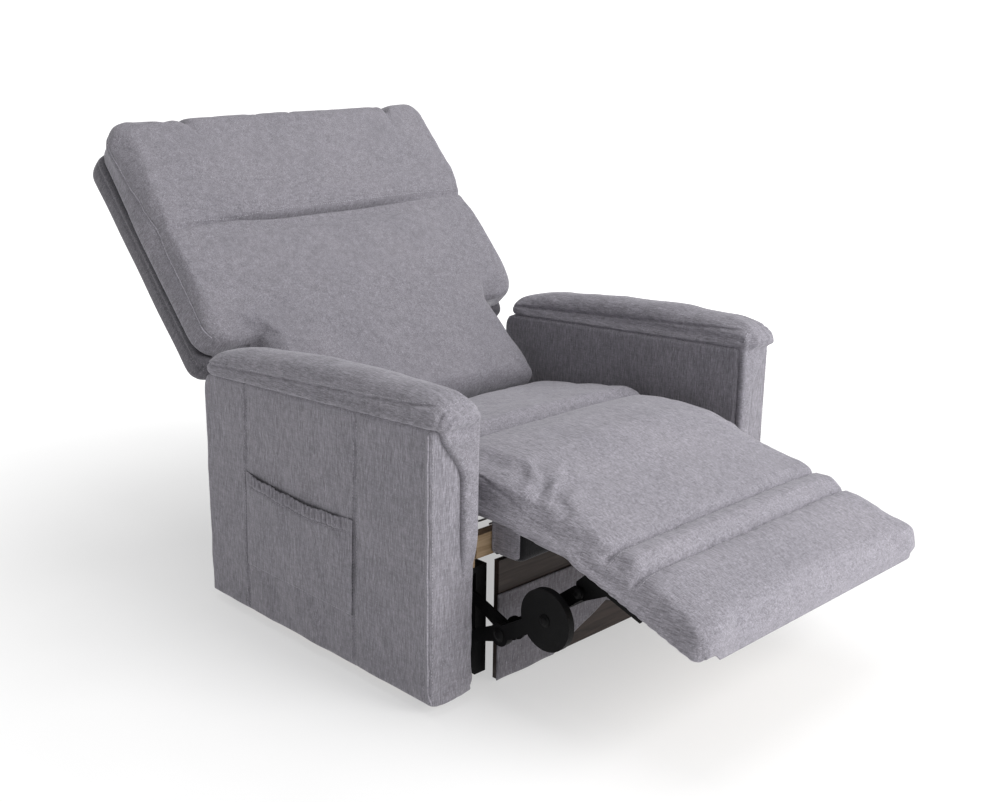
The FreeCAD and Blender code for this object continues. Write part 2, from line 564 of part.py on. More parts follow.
def make_drive():
    """Swing arms and discs on one torque tube, with the actuator's crank between them."""
    axle = dict(y="front_y + axle_y", z="axle_z")
    eye_y = "board_y + pivot_back * cos(foot_slope) + pivot_drop * sin(foot_slope)"
    eye_z = "board_z + pivot_back * sin(foot_slope) - pivot_drop * cos(foot_slope)"
    tube_y = f"{axle['y']} + tube_share * ({eye_y} - axle_y)"
    tube_z = f"axle_z + tube_share * ({eye_z} - axle_z)"
    node(rod("CrossTube", "-arm_plane", tube_y, tube_z, "cross_radius", "2 * arm_plane"), "drive_cross_tube")
    for word, side in SIDES:
        cap = word.capitalize()
        node(link(f"SwingArm{cap}", side_x(side, "arm_plane", "arm_thick"), "arm_thick",
                  (axle["y"], axle["z"]), (f"front_y + {eye_y}", eye_z), "hub_radius", "eye_radius"),
             f"swing_arm_{word}")
        disc = link(f"DiscArm{cap}", side_x(side, "disc_plane", "disc_thick"), "disc_thick",
                    (axle["y"], axle["z"]), ("front_y + disc_y", "disc_z"), "hub_radius", "disc_radius")
        reach = "disc_plane - arm_plane - arm_thick"
        stub = rod(f"Stub{cap}", side_x(side, "arm_plane + arm_thick", reach), axle["y"], axle["z"],
                   "axle_radius", reach)
        joined(f"SwingDisc{cap}", f"swing_disc_{word}", [disc, stub])
    tip_y = f"{axle['y']} - crank_length * sin(crank_lean)"
    tip_z = f"{axle['z']} + crank_length * cos(crank_lean)"
    pin = rod("CrankPin", "crank_x - crank_thick / 2 - fork_gap - fork_thick", tip_y, tip_z,
              "pin_radius", "crank_thick + 2 * (fork_gap + fork_thick)")
    lug = link("Crank", "crank_x - crank_thick / 2", "crank_thick", (tube_y, tube_z), (tip_y, tip_z),
               "cross_radius + crank_rim", "pin_radius + crank_rim", "pin_radius + crank_rim / 2")
    bored = doc.addObject("Part::Cut", "CrankBored")
    bored.Base = lug
    bored.Tool = rod("CrankBore", "crank_x - crank_thick", tube_y, tube_z, "cross_radius", "2 * crank_thick")
    joined("CrankWithPin", "actuator_crank", [bored, pin])
    return tip_y


def link(name, x_low, thick, start, end, start_radius, end_radius, half_width="arm_half_width"):
    """A flat arm between two round ends."""
    first = rod(name + "Start", x_low, start[0], start[1], start_radius, thick)
    last = rod(name + "End", x_low, end[0], end[1], end_radius, thick)
    strap = doc.addObject("Part::Box", name + "Strap")
    span = f"sqrt((({end[0]}) - ({start[0]})) ^ 2 + (({end[1]}) - ({start[1]})) ^ 2)"
    strap.setExpression("Length", formula(thick))
    strap.setExpression("Width", formula(span))
    strap.setExpression("Height", formula(f"2 * ({half_width})"))
    lean = f"atan2(({end[1]}) - ({start[1]}); ({end[0]}) - ({start[0]}))"
    place(strap, x_low, f"{start[0]} + ({half_width}) * sin({lean})",
          f"{start[1]} - ({half_width}) * cos({lean})", lean)
    solid = doc.addObject("Part::MultiFuse", name)
    solid.Shapes = [first, strap, last]
    return solid


def make_actuator(tip_y):
    """Motor, gearbox and guide tube on the rear tube, and the rod that they push."""
    x = "crank_x"
    tube = doc.addObject("Part::Cylinder", "GuideTube_outer")
    bore = doc.addObject("Part::Cylinder", "GuideTube_bore")
    for obj, radius in ((tube, "tube_radius"), (bore, "rod_radius + rod_play")):
        obj.setExpression("Radius", formula(radius))
        obj.setExpression("Height", formula("tube_rear - tube_front"))
        along_y(obj, x, "front_y + tube_front", "rod_z")
    cut = doc.addObject("Part::Cut", "GuideTube")
    cut.Base = tube
    cut.Tool = bore
    node(cut, "guide_tube")
    node(box("Gearbox", "crank_x - gearbox / 2", "front_y + tube_rear", "rod_z - gearbox / 2", "gearbox",
             "gearbox", "gearbox"), "gearbox_housing")
    node(rod("Motor", "crank_x - gearbox / 2 - motor_length", "front_y + tube_rear + gearbox / 2", "rod_z",
             "motor_radius", "motor_length"), "motor_housing")
    shaft = doc.addObject("Part::Cylinder", "Rod")
    shaft.setExpression("Radius", formula("rod_radius"))
    shaft.setExpression("Height", formula(f"front_y + tube_front + 120 - ({tip_y}) - 24"))
    along_y(shaft, x, f"{tip_y} + 24", "rod_z")
    node(shaft, "actuator_rod")
    make_fork(tip_y)


def along_y(obj, x, y, z):
    obj.Placement = FreeCAD.Placement(FreeCAD.Vector(), FreeCAD.Rotation(X_AXIS, -90))
    for letter, text in zip("xyz", (x, y, z)):
        obj.setExpression(f"Placement.Base.{letter}", formula(text))


def make_fork(tip_y):
    """Two slotted cheeks either side of the crank, joined behind it; the slot is tall so that the
    crank pin can rise and fall in it."""
    cheeks = []
    for name, x in (("Near", "crank_x - crank_thick / 2 - fork_gap - fork_thick"),
                    ("Far", "crank_x + crank_thick / 2 + fork_gap")):
        cheek = box(f"Cheek{name}", x, f"{tip_y} - 14", "rod_z - 22", "fork_thick", "34", "44")
        slot = box(f"Slot{name}", f"{x} - 1", f"{tip_y} - 7", "rod_z - 14", "fork_thick + 2", "14", "27")
        cut = doc.addObject("Part::Cut", f"Fork{name}")
        cut.Base = cheek
        cut.Tool = slot
        cheeks.append(cut)
    web = box("ForkWeb", "crank_x - crank_thick / 2 - fork_gap - fork_thick", f"{tip_y} + 14", "rod_z - 14",
              "crank_thick + 2 * (fork_gap + fork_thick)", "6", "28")
    joined("RodFork", "rod_fork", cheeks + [web])


for side_word, side_sign in SIDES:
    make_arm(side_word, side_sign)
make_base()
make_back()
make_footrest()
make_actuator(make_drive())
doc.removeObject(scratch.Name)
doc.recompute()

for obj in doc.Objects:
    if {"Invalid", "Error"} & set(obj.State):
        raise RuntimeError(f"{obj.Label} failed: {obj.State}")
for obj in NODES:
    if obj.Shape.isNull() or not obj.Shape.isValid() or not obj.Shape.Solids:
        raise RuntimeError(f"{obj.Label} has no valid solid")

os.makedirs("parts", exist_ok=True)
for obj in NODES:
    obj.Shape.exportStep(f"parts/{obj.Label}.step")
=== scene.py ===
import math

import bmesh
import bpy
import numpy as np
from mathutils import Matrix, Vector, noise
from mathutils.bvhtree import BVHTree


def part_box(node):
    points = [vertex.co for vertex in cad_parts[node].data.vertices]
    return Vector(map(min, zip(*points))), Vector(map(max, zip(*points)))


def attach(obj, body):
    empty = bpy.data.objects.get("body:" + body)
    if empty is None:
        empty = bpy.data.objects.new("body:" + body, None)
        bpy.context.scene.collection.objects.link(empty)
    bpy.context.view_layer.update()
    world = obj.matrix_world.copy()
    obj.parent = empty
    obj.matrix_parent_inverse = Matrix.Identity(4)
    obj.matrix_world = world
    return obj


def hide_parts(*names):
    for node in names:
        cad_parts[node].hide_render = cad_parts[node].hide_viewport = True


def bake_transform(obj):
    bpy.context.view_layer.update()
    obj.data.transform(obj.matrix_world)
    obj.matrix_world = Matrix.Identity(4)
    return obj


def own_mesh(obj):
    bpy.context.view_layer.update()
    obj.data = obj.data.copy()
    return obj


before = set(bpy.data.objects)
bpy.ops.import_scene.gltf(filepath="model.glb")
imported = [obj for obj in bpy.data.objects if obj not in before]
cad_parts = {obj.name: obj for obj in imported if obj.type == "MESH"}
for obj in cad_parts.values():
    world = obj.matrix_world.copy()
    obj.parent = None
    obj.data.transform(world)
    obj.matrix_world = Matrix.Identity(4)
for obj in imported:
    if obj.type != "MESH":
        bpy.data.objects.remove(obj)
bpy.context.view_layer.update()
scene = bpy.context.scene
SIDES = (("right", -1), ("left", 1))

# ---------------------------------------------------------------- places taken from the CAD
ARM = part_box("arm_outer_cover_right")
Y0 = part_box("arm_front_cover_right")[0][1]              # front plane of the arms
ARM_REAR = ARM[1][1]
ARM_LOW = ARM[0][2]
ARM_OUT = -ARM[0][0]                                    # outer face
ARM_IN = -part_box("arm_inner_cover_right")[1][0]         # inner face
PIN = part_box("back_hinge_pins")
HINGE = Vector((0, (PIN[0][1] + PIN[1][1]) / 2, (PIN[0][2] + PIN[1][2]) / 2))
RECLINE = math.radians(43.5)
SLOPE = math.radians(18)
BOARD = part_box("footrest_board")
CORNER = Vector((0, BOARD[1][1], BOARD[1][2] - 0.012 * math.cos(SLOPE)))
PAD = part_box("arm_pad_right")


def on_back(x, s, t):
    """A point s up the backrest and t forward of its hinge line."""
    return (x, HINGE.y + s * math.sin(RECLINE) - t * math.cos(RECLINE),
            HINGE.z + s * math.cos(RECLINE) + t * math.sin(RECLINE))


def in_back(co):
    """Arrays x, s and t of the points in co: on_back turned round."""
    dy, dz = co[:, 1] - HINGE.y, co[:, 2] - HINGE.z
    s = dy * math.sin(RECLINE) + dz * math.cos(RECLINE)
    t = -dy * math.cos(RECLINE) + dz * math.sin(RECLINE)
    return co[:, 0].copy(), s, t


def stacked(x, y, z):
    """One row for each point, from the arrays of the coordinates."""
    return np.stack((x, y, z), axis=1)


def on_foot(x, a, h):
    """A point a forward of the footrest board's rear end and h up from its underside."""
    return (x, CORNER.y - a * math.cos(SLOPE) - h * math.sin(SLOPE),
            CORNER.z - a * math.sin(SLOPE) + h * math.cos(SLOPE))


def in_foot(co):
    """Arrays a and h of the points in co: on_foot turned round."""
    dy, dz = co[:, 1] - CORNER.y, co[:, 2] - CORNER.z
    return -dy * math.cos(SLOPE) - dz * math.sin(SLOPE), -dy * math.sin(SLOPE) + dz * math.cos(SLOPE)


def lerp(x, xs, ys):
    return float(np.interp(x, xs, ys))


def smooth(x):
    """An even step from 0 to 1, flat at both ends."""
    x = np.clip(x, 0, 1)
    return x * x * (3 - 2 * x)


def inset(d, r):
    """How far a rounded end of radius r lies in from its flat sides at distance d from its tip."""
    if d >= r:
        return 0.0
    k = 1 - max(d, 0) / r
    return r * (1 - math.sqrt(max(0.0, 1 - k * k)))


def ripple(co, size, seed=0.0):
    """Smooth noise from -1 to 1 at each point."""
    off = Vector((seed, seed * 1.7, seed * 0.3))
    return np.array([noise.noise(Vector(p) / size + off) for p in co])


# ---------------------------------------------------------------- mesh helpers
def make(name, verts, faces, material, body=None):
    """A smooth-shaded mesh object with one material, riding on a body when one is given."""
    mesh = bpy.data.meshes.new(name)
    mesh.from_pydata([tuple(v) for v in verts], [], [tuple(f) for f in faces])
    bm = bmesh.new()
    bm.from_mesh(mesh)
    bmesh.ops.remove_doubles(bm, verts=bm.verts, dist=1e-6)
    bmesh.ops.recalc_face_normals(bm, faces=bm.faces)
    bm.to_mesh(mesh)
    bm.free()
    mesh.polygons.foreach_set("use_smooth", [True] * len(mesh.polygons))
    obj = bpy.data.objects.new(name, mesh)
    scene.collection.objects.link(obj)
    mesh.materials.append(material)
    if body:
        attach(obj, body)
    return obj


def loft(sections):
    """Vertices and faces of a closed form through equal rings of points."""
    count = len(sections[0])
    verts = [p for ring in sections for p in ring]
    faces = []
    for i in range(len(sections) - 1):
        for j in range(count):
            k = (j + 1) % count
            faces.append((i * count + j, i * count + k, (i + 1) * count + k, (i + 1) * count + j))
    faces.append(tuple(range(count)))
    last = (len(sections) - 1) * count
    faces.append(tuple(last + j for j in range(count))[::-1])
    return verts, faces


def merge(*parts):
    """Vertices and faces of several forms in one list each."""
    verts, faces = [], []
    for v, f in parts:
        base = len(verts)
        verts += v
        faces += [tuple(i + base for i in face) for face in f]
    return verts, faces


RING_SPAN = 22                                          # points across the top and the bottom


def ring(half, low, high, crown, r, under, flat=1.0):
    """A rounded rectangle in (x, height), its upper side raised by crown in the middle.
    flat widens the upper corners across x."""
    under = min(under, half * 0.5, (high - low) * 0.4)
    r = min(r, half * 0.95, (high - low - under) * 0.98)
    wide = min(r * flat, half * 0.95)
    pts = []
    for i in range(RING_SPAN + 1):
        x = -(half - under) + 2 * (half - under) * i / RING_SPAN
        pts.append((x, low))
    for i in range(1, 6):
        a = -math.pi / 2 + math.pi / 2 * i / 6
        pts.append((half - under + under * math.cos(a), low + under + under * math.sin(a)))
    for i in range(6):
        a = math.pi / 2 * i / 6
        pts.append((half - wide + wide * math.cos(a), high - r + r * math.sin(a)))
    for i in range(RING_SPAN + 1):
        x = (half - wide) - 2 * (half - wide) * i / RING_SPAN
        pts.append((x, high + crown * (1 - (abs(x) / half) ** 2.4)))
    for i in range(1, 6):
        a = math.pi / 2 + math.pi / 2 * i / 6
        pts.append((-(half - wide) + wide * math.cos(a), high - r + r * math.sin(a)))
    for i in range(6):
        a = math.pi + math.pi / 2 * i / 6
        pts.append((-(half - under) + under * math.cos(a), low + under + under * math.sin(a)))
    return pts


def pillow(place, start, end, shape, r, steps=40, corner=0.0, under=None, fade=0.05, edge=None):
    """A stuffed form along an axis. shape(a) gives half width, low, high and crown;
    place(x, a, h) turns them into a point. under is its lower edges' radius, edge the
    upper side edges' radius and how many times wider than high they are."""
    under = r if under is None else under
    edge_r, flat = edge or (r, 1.0)
    sections = []
    length = end - start
    cuts = [start + length * i / steps for i in range(steps + 1)]
    close = (0.06, 0.2, 0.45, 0.75)                     # extra rings where the ends turn
    cuts += [start + r * k for k in close] + [end - r * k for k in close]
    for a in sorted(set(cuts)):
        half, low, high, crown = shape(a)
        d = min(a - start, end - a)
        roll = inset(d, r)
        if corner:
            half -= inset(d, corner)
        half -= roll * 0.7
        mid = (low + high) / 2
        low = min(low + inset(d, under) * 0.9, mid - 0.004)
        high = max(high - roll * 0.9, mid + 0.004)
        rise = crown * smooth(np.array(d / fade)).item()
        sections.append([place(x, a, h) for x, h in ring(half, low, high, rise, edge_r, under, flat)])
    return loft(sections)


def bake(obj):
    """Applies every modifier on obj."""
    bpy.context.view_layer.update()
    deps = bpy.context.evaluated_depsgraph_get()
    mesh = bpy.data.meshes.new_from_object(obj.evaluated_get(deps))
    obj.modifiers.clear()
    obj.data = mesh
    mesh.polygons.foreach_set("use_smooth", [True] * len(mesh.polygons))


def coords(obj):
    """obj's points, one row each."""
    co = np.empty(len(obj.data.vertices) * 3)
    obj.data.vertices.foreach_get("co", co)
    return co.reshape(-1, 3)


def put(obj, co):
    obj.data.vertices.foreach_set("co", np.ascontiguousarray(co).ravel())
    obj.data.update()


def remesh(obj, voxel):
    mod = obj.modifiers.new("Remesh", "REMESH")
    mod.mode = "VOXEL"
    mod.voxel_size = voxel
    bake(obj)


def relax(obj, times):
    mod = obj.modifiers.new("Relax", "SMOOTH")
    mod.factor = 0.5
    mod.iterations = times
    bake(obj)


PRESSURE, STIFFNESS, FRAMES = 4.0, 12.0, 20             # of the stuffed cloth


def stuff(obj, voxel, cap, hold):
    """Remeshes a closed form and blows it up as stuffed cloth, no point further than cap;
    hold(co) is 1 where it may not move."""
    remesh(obj, voxel)
    before = coords(obj)
    mod = obj.modifiers.new("Cloth", "CLOTH")
    cloth = mod.settings
    cloth.quality = 4
    cloth.mass = 0.3
    cloth.tension_stiffness = STIFFNESS
    cloth.compression_stiffness = STIFFNESS
    cloth.shear_stiffness = STIFFNESS * 0.4
    cloth.bending_stiffness = 0.4
    cloth.shrink_min = -0.03
    cloth.use_pressure = True
    cloth.uniform_pressure_force = PRESSURE
    cloth.effector_weights.gravity = 0
    mod.point_cache.frame_start = 1
    mod.point_cache.frame_end = FRAMES
    for number in range(1, FRAMES + 1):
        scene.frame_set(number)
    deps = bpy.context.evaluated_depsgraph_get()
    moved = np.empty(len(obj.data.vertices) * 3)
    obj.evaluated_get(deps).data.vertices.foreach_get("co", moved)
    obj.modifiers.clear()
    scene.frame_set(1)
    shift = moved.reshape(-1, 3) - before
    size = np.linalg.norm(shift, axis=1, keepdims=True)
    shift *= np.minimum(1, cap / np.maximum(size, 1e-9))
    put(obj, before + shift)
    weight = hold(before)[:, None]
    put(obj, coords(obj) * (1 - weight) + before * weight)
    relax(obj, 2)


def span_to(values, low, high):
    """Values rescaled so that they run from low to high."""
    a, b = values.min(), values.max()
    return low + (values - a) * (high - low) / (b - a)


def finish_soft(obj):
    """Halves the faces' size, so that seams and creases can be drawn into the points."""
    mod = obj.modifiers.new("Fine", "SUBSURF")
    mod.levels = 1
    mod.render_levels = 1
    bake(obj)


def settle(obj):
    """Keeps the rest position of each point, which the weave follows when the piece bends."""
    rest = obj.data.attributes.new("rest", "FLOAT_VECTOR", "POINT")
    rest.data.foreach_set("vector", coords(obj).astype(np.float32).ravel())


def upholster(obj, body, fill, *stands_for):
    """Ends a stuffed piece: it rides on body and replaces the CAD nodes that it stands for."""
    settle(obj)
    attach(obj, body)
    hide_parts(*stands_for)


def cloth_sheet(name, point, cols, rows, material, thick):
    """A sheet through point(u, v), with u and v from 0 to 1 over a grid, on the base."""
    verts = [point(i / cols, j / rows) for j in range(rows + 1) for i in range(cols + 1)]
    faces = []
    for j in range(rows):
        for i in range(cols):
            k = j * (cols + 1) + i
            faces.append((k, k + 1, k + cols + 2, k + cols + 1))
    obj = make(name, verts, faces, material)
    mod = obj.modifiers.new("Thick", "SOLIDIFY")
    mod.thickness = thick
    mod.offset = 0
    bake(obj)
    settle(obj)
    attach(obj, "base")
    return obj


def on_surface(obj, points, lift=0.0004, toward=None):
    """Each point moved onto obj's surface, with the surface's normal there."""
    tree = BVHTree.FromPolygons([v.co for v in obj.data.vertices],
                                [p.vertices for p in obj.data.polygons])
    out = []
    for p in points:
        p = Vector(p)
        hit = None
        if toward is not None:
            way = Vector(toward).normalized()
            hit, normal, _, _ = tree.ray_cast(p - way * 0.08, way, 0.2)
        if hit is None:
            hit, normal, _, _ = tree.find_nearest(p)
        out.append((hit + normal * lift, normal))
    return out


def circle(mid, u, v, r, count):
    """Points round mid in the plane of the unit vectors u and v."""
    turns = [2 * math.pi * q / count for q in range(count)]
    return [mid + (u * math.cos(w) + v * math.sin(w)) * r for w in turns]


STITCH_LENGTH, STITCH_PITCH, STITCH_RADIUS = 0.0044, 0.0064, 0.00055


def dash_mesh(path):
    """Small sewn stitches along a path of (point, normal) pairs."""
    pts = [p for p, _ in path]
    nrm = [n for _, n in path]
    run = [0.0]
    for a, b in zip(pts, pts[1:]):
        run.append(run[-1] + (b - a).length)

    def at(d):
        i = min(max(int(np.searchsorted(run, d)) - 1, 0), len(pts) - 2)
        f = (d - run[i]) / max(run[i + 1] - run[i], 1e-9)
        return pts[i].lerp(pts[i + 1], f), nrm[i].lerp(nrm[i + 1], f).normalized()

    dashes = []
    d = 0.0
    while d + STITCH_LENGTH < run[-1]:
        (a, n), (b, _) = at(d), at(d + STITCH_LENGTH)
        side = (b - a).normalized().cross(n).normalized()
        sections = []
        for f, k in ((0.0, 0.35), (0.2, 1.0), (0.8, 1.0), (1.0, 0.35)):
            mid = a.lerp(b, f) + n * STITCH_RADIUS * (0.9 if 0 < f < 1 else 0.1)
            sections.append(circle(mid, side, n, STITCH_RADIUS * k, 6))
        dashes.append(loft(sections))
        d += STITCH_PITCH
    return merge(*dashes)


WELT_RADIUS = 0.0015


def cord_mesh(path):
    """A closed round cord along a path of (point, normal) pairs."""
    sections = []
    last = len(path) - 1
    for i, (p, n) in enumerate(path):
        way = (path[min(i + 1, last)][0] - path[max(i - 1, 0)][0]).normalized()
        sections.append(circle(p, way.cross(n).normalized(), n, WELT_RADIUS, 8))
    return loft(sections)


# ---------------------------------------------------------------- materials
def nodes_of(name):
    material = bpy.data.materials.new(name)
    material.use_nodes = True
    tree = material.node_tree
    shader = tree.nodes["Principled BSDF"]
    return material, tree, shader


def add(tree, kind, **props):
    item = tree.nodes.new(kind)
    for key, value in props.items():
        setattr(item, key, value)
    return item


def ramp(tree, source, stops):
    item = add(tree, "ShaderNodeValToRGB")
    line = item.color_ramp
    while len(line.elements) < len(stops):
        line.elements.new(0.5)
    for element, (at, colour) in zip(line.elements, stops):
        element.position = at
        element.color = (*colour, 1)
    tree.links.new(source, item.inputs[0])
    return item.outputs[0]


def grey(v):
    return (v, v, v)


def mixed(tree, kind, a, b, factor):
    item = add(tree, "ShaderNodeMix", data_type="RGBA", blend_type=kind)
    for socket, value in ((item.inputs[0], factor), (item.inputs[6], a), (item.inputs[7], b)):
        if isinstance(value, bpy.types.NodeSocket):
            tree.links.new(value, socket)
        elif isinstance(value, tuple):
            socket.default_value = (*value, 1)
        else:
            socket.default_value = value
    return item.outputs[2]


def math_node(tree, op, a, b=0.0):
    item = add(tree, "ShaderNodeMath", operation=op)
    for socket, value in ((item.inputs[0], a), (item.inputs[1], b)):
        if isinstance(value, bpy.types.NodeSocket):
            tree.links.new(value, socket)
        else:
            socket.default_value = value
    return item.outputs[0]


def chenille(name, tint=(0.250, 0.240, 0.268), tilt=0.0, grain="y", shade=1.0):
    """Velvety chenille: streaky slub along the grain, fine ribs, pale flecks, soft sheen."""
    material, tree, shader = nodes_of(name)
    where = add(tree, "ShaderNodeAttribute", attribute_name="rest")
    turn = add(tree, "ShaderNodeMapping")
    turn.inputs["Rotation"].default_value = (tilt, 0, 0)
    tree.links.new(where.outputs["Vector"], turn.inputs["Vector"])

    def noise_at(scale, detail, rough=0.55, distort=0.0):
        mapping = add(tree, "ShaderNodeMapping")
        mapping.inputs["Scale"].default_value = scale
        tree.links.new(turn.outputs[0], mapping.inputs["Vector"])
        item = add(tree, "ShaderNodeTexNoise")
        item.inputs["Scale"].default_value = 1.0
        item.inputs["Detail"].default_value = detail
        item.inputs["Roughness"].default_value = rough
        item.inputs["Distortion"].default_value = distort
        tree.links.new(mapping.outputs[0], item.inputs["Vector"])
        return item.outputs[0]

    def along(fine, coarse):
        return (fine, coarse, fine) if grain == "y" else (fine, fine, coarse)

    streak = noise_at(along(520, 60), 4, 0.6, 0.3)
    slub = noise_at(along(210, 22), 3, 0.6, 0.4)
    cloud = noise_at((7, 7, 7), 3, 0.5)
    nap = noise_at(along(42, 20), 4, 0.62, 0.6)
    fleck = noise_at(along(800, 150), 2, 0.5)
    cross = noise_at(along(60, 520), 2, 0.5)
    colour = mixed(tree, "MULTIPLY", tuple(c * shade for c in tint),
                   ramp(tree, streak, [(0.3, grey(0.52)), (0.52, grey(1.0)), (0.72, grey(1.42))]), 0.8)
    colour = mixed(tree, "MULTIPLY", colour,
                   ramp(tree, slub, [(0.32, grey(0.74)), (0.55, grey(1.0)), (0.7, grey(1.2))]), 0.6)
    colour = mixed(tree, "MULTIPLY", colour,
                   ramp(tree, cloud, [(0.3, (0.92, 0.92, 0.93)), (0.7, (1.06, 1.05, 1.05))]), 0.6)
    colour = mixed(tree, "MULTIPLY", colour,
                   ramp(tree, nap, [(0.35, grey(0.86)), (0.65, grey(1.1))]), 0.28)
    colour = mixed(tree, "MULTIPLY", colour,
                   ramp(tree, cross, [(0.35, grey(0.8)), (0.6, grey(1.1))]), 0.5)
    spots = ramp(tree, fleck, [(0.6, grey(0)), (0.74, grey(1))])
    spots = math_node(tree, "MULTIPLY", spots, 0.5)
    colour = mixed(tree, "MIX", colour, tuple(min(1, c * 1.9) for c in tint), spots)
    tree.links.new(colour, shader.inputs["Base Color"])
    tree.links.new(ramp(tree, nap, [(0.3, grey(0.82)), (0.7, grey(0.98))]), shader.inputs["Roughness"])
    shader.inputs["Specular IOR Level"].default_value = 0.18
    shader.inputs["Sheen Weight"].default_value = 0.3
    shader.inputs["Sheen Roughness"].default_value = 0.45
    shader.inputs["Sheen Tint"].default_value = (0.86, 0.85, 0.9, 1)
    height = math_node(tree, "ADD", math_node(tree, "MULTIPLY", streak, 0.8),
                       math_node(tree, "MULTIPLY", cross, 0.55))
    height = math_node(tree, "ADD", height, math_node(tree, "MULTIPLY", slub, 0.7))
    bump = add(tree, "ShaderNodeBump")
    bump.inputs["Strength"].default_value = 0.5
    bump.inputs["Distance"].default_value = 0.0016
    tree.links.new(height, bump.inputs["Height"])
    tree.links.new(bump.outputs[0], shader.inputs["Normal"])
    return material


def hard(name, colour, metallic, rough, scale, variation=0.25, bump=0.15, shine=0.22):
    """Painted or plain metal, plastic or board: mottled colour, worn roughness, fine bump."""
    material, tree, shader = nodes_of(name)
    where = add(tree, "ShaderNodeTexCoord")
    fine = add(tree, "ShaderNodeTexNoise")
    fine.inputs["Scale"].default_value = scale
    fine.inputs["Detail"].default_value = 6
    broad = add(tree, "ShaderNodeTexNoise")
    broad.inputs["Scale"].default_value = scale / 12
    broad.inputs["Detail"].default_value = 4
    for item in (fine, broad):
        tree.links.new(where.outputs["Object"], item.inputs["Vector"])
    mottle = ramp(tree, broad.outputs[0], [(0.35, grey(1 - variation)), (0.65, grey(1 + variation))])
    tree.links.new(mixed(tree, "MULTIPLY", colour, mottle, 1.0), shader.inputs["Base Color"])
    tree.links.new(ramp(tree, fine.outputs[0], [(0.3, grey(rough - 0.1)), (0.7, grey(rough + 0.12))]),
                   shader.inputs["Roughness"])
    shader.inputs["Metallic"].default_value = metallic
    shader.inputs["Specular IOR Level"].default_value = 0.5 if metallic else shine
    dent = add(tree, "ShaderNodeBump")
    dent.inputs["Strength"].default_value = bump
    dent.inputs["Distance"].default_value = 0.0006
    tree.links.new(fine.outputs[0], dent.inputs["Height"])
    tree.links.new(dent.outputs[0], shader.inputs["Normal"])
    return material


def wood(name, pale, dark):
    """Board with a fine grain along X."""
    material, tree, shader = nodes_of(name)
    where = add(tree, "ShaderNodeTexCoord")
    mapping = add(tree, "ShaderNodeMapping")
    mapping.inputs["Scale"].default_value = (6, 90, 90)
    tree.links.new(where.outputs["Object"], mapping.inputs["Vector"])
    grain = add(tree, "ShaderNodeTexNoise")
    grain.inputs["Scale"].default_value = 1.0
    grain.inputs["Detail"].default_value = 6
    grain.inputs["Distortion"].default_value = 1.2
    tree.links.new(mapping.outputs[0], grain.inputs["Vector"])
    tree.links.new(ramp(tree, grain.outputs[0], [(0.32, dark), (0.68, pale)]), shader.inputs["Base Color"])
    tree.links.new(ramp(tree, grain.outputs[0], [(0.3, grey(0.72)), (0.7, grey(0.55))]),
                   shader.inputs["Roughness"])
    dent = add(tree, "ShaderNodeBump")
    dent.inputs["Strength"].default_value = 0.3
    dent.inputs["Distance"].default_value = 0.0008
    tree.links.new(grain.outputs[0], dent.inputs["Height"])
    tree.links.new(dent.outputs[0], shader.inputs["Normal"])
    return material


# One chenille for all the cloth; the shade factors make darker and lighter copies of it, piece by piece,
# standing in for how much light each piece gets: painted light and shade.
SEAT_CLOTH = chenille("chenille_seat", grain="y")
# back, arms and arm rolls: darker copies of the seat's chenille, as painted shade
BACK_CLOTH = chenille("chenille_back", grain="y", tilt=math.pi / 2 - RECLINE, shade=0.80)
ARM_CLOTH = chenille("chenille_arm", grain="z", shade=0.88)
ROLL_CLOTH = chenille("chenille_roll", grain="y", shade=0.92)
# the back's outer shell: its chenille darkened to under half, painted shade
SHADED_SHELL_CLOTH = chenille("chenille_shell", grain="y", tilt=math.pi / 2 - RECLINE, shade=0.45)
# the lower front panel's chenille is darkened: painted shadow of the chaise over it
SHADED_SKIRT_CLOTH = chenille("chenille_skirt", grain="z", shade=0.62)
# the welt cords' chenille is brightened: painted highlight along the raised cords
HIGHLIT_WELT_CLOTH = chenille("chenille_welt", grain="y", shade=1.5)
# black cloth: the rear dust cover's own colour, and painted shade on the seat border's middle
DUST_AND_SHADE_CLOTH = chenille("dust_cloth", grain="z", tint=(0.006, 0.006, 0.007))
THREAD = hard("thread", (0.34, 0.33, 0.36), 0.0, 0.7, 900, bump=0.4)
BLACK_STEEL = hard("black_steel_paint", (0.0022, 0.0022, 0.0024), 0.0, 0.5, 420, 0.3, 0.25, shine=0.10)
BARE_STEEL = hard("zinc_steel", (0.42, 0.42, 0.43), 1.0, 0.36, 500, 0.2, 0.2)
BLACK_PLASTIC = hard("moulded_plastic", (0.003, 0.003, 0.0033), 0.0, 0.55, 700, 0.2, 0.3, shine=0.10)
RUBBER = hard("stop_rubber", (0.008, 0.008, 0.008), 0.0, 0.75, 650, 0.25, 0.3)
TIMBER = wood("frame_timber", (0.5, 0.36, 0.22), (0.33, 0.22, 0.12))
DARK_BOARD = wood("dark_board", (0.030, 0.016, 0.011), (0.012, 0.007, 0.005))

# the CAD's fabric parts take the shell's darkened chenille, painted shade included
CARRIED = {
    "dark_board": DARK_BOARD, "timber": TIMBER, "black_steel": BLACK_STEEL, "bare_steel": BARE_STEEL,
    "black_plastic": BLACK_PLASTIC, "stop_rubber": RUBBER, "fabric": SHADED_SHELL_CLOTH,
}

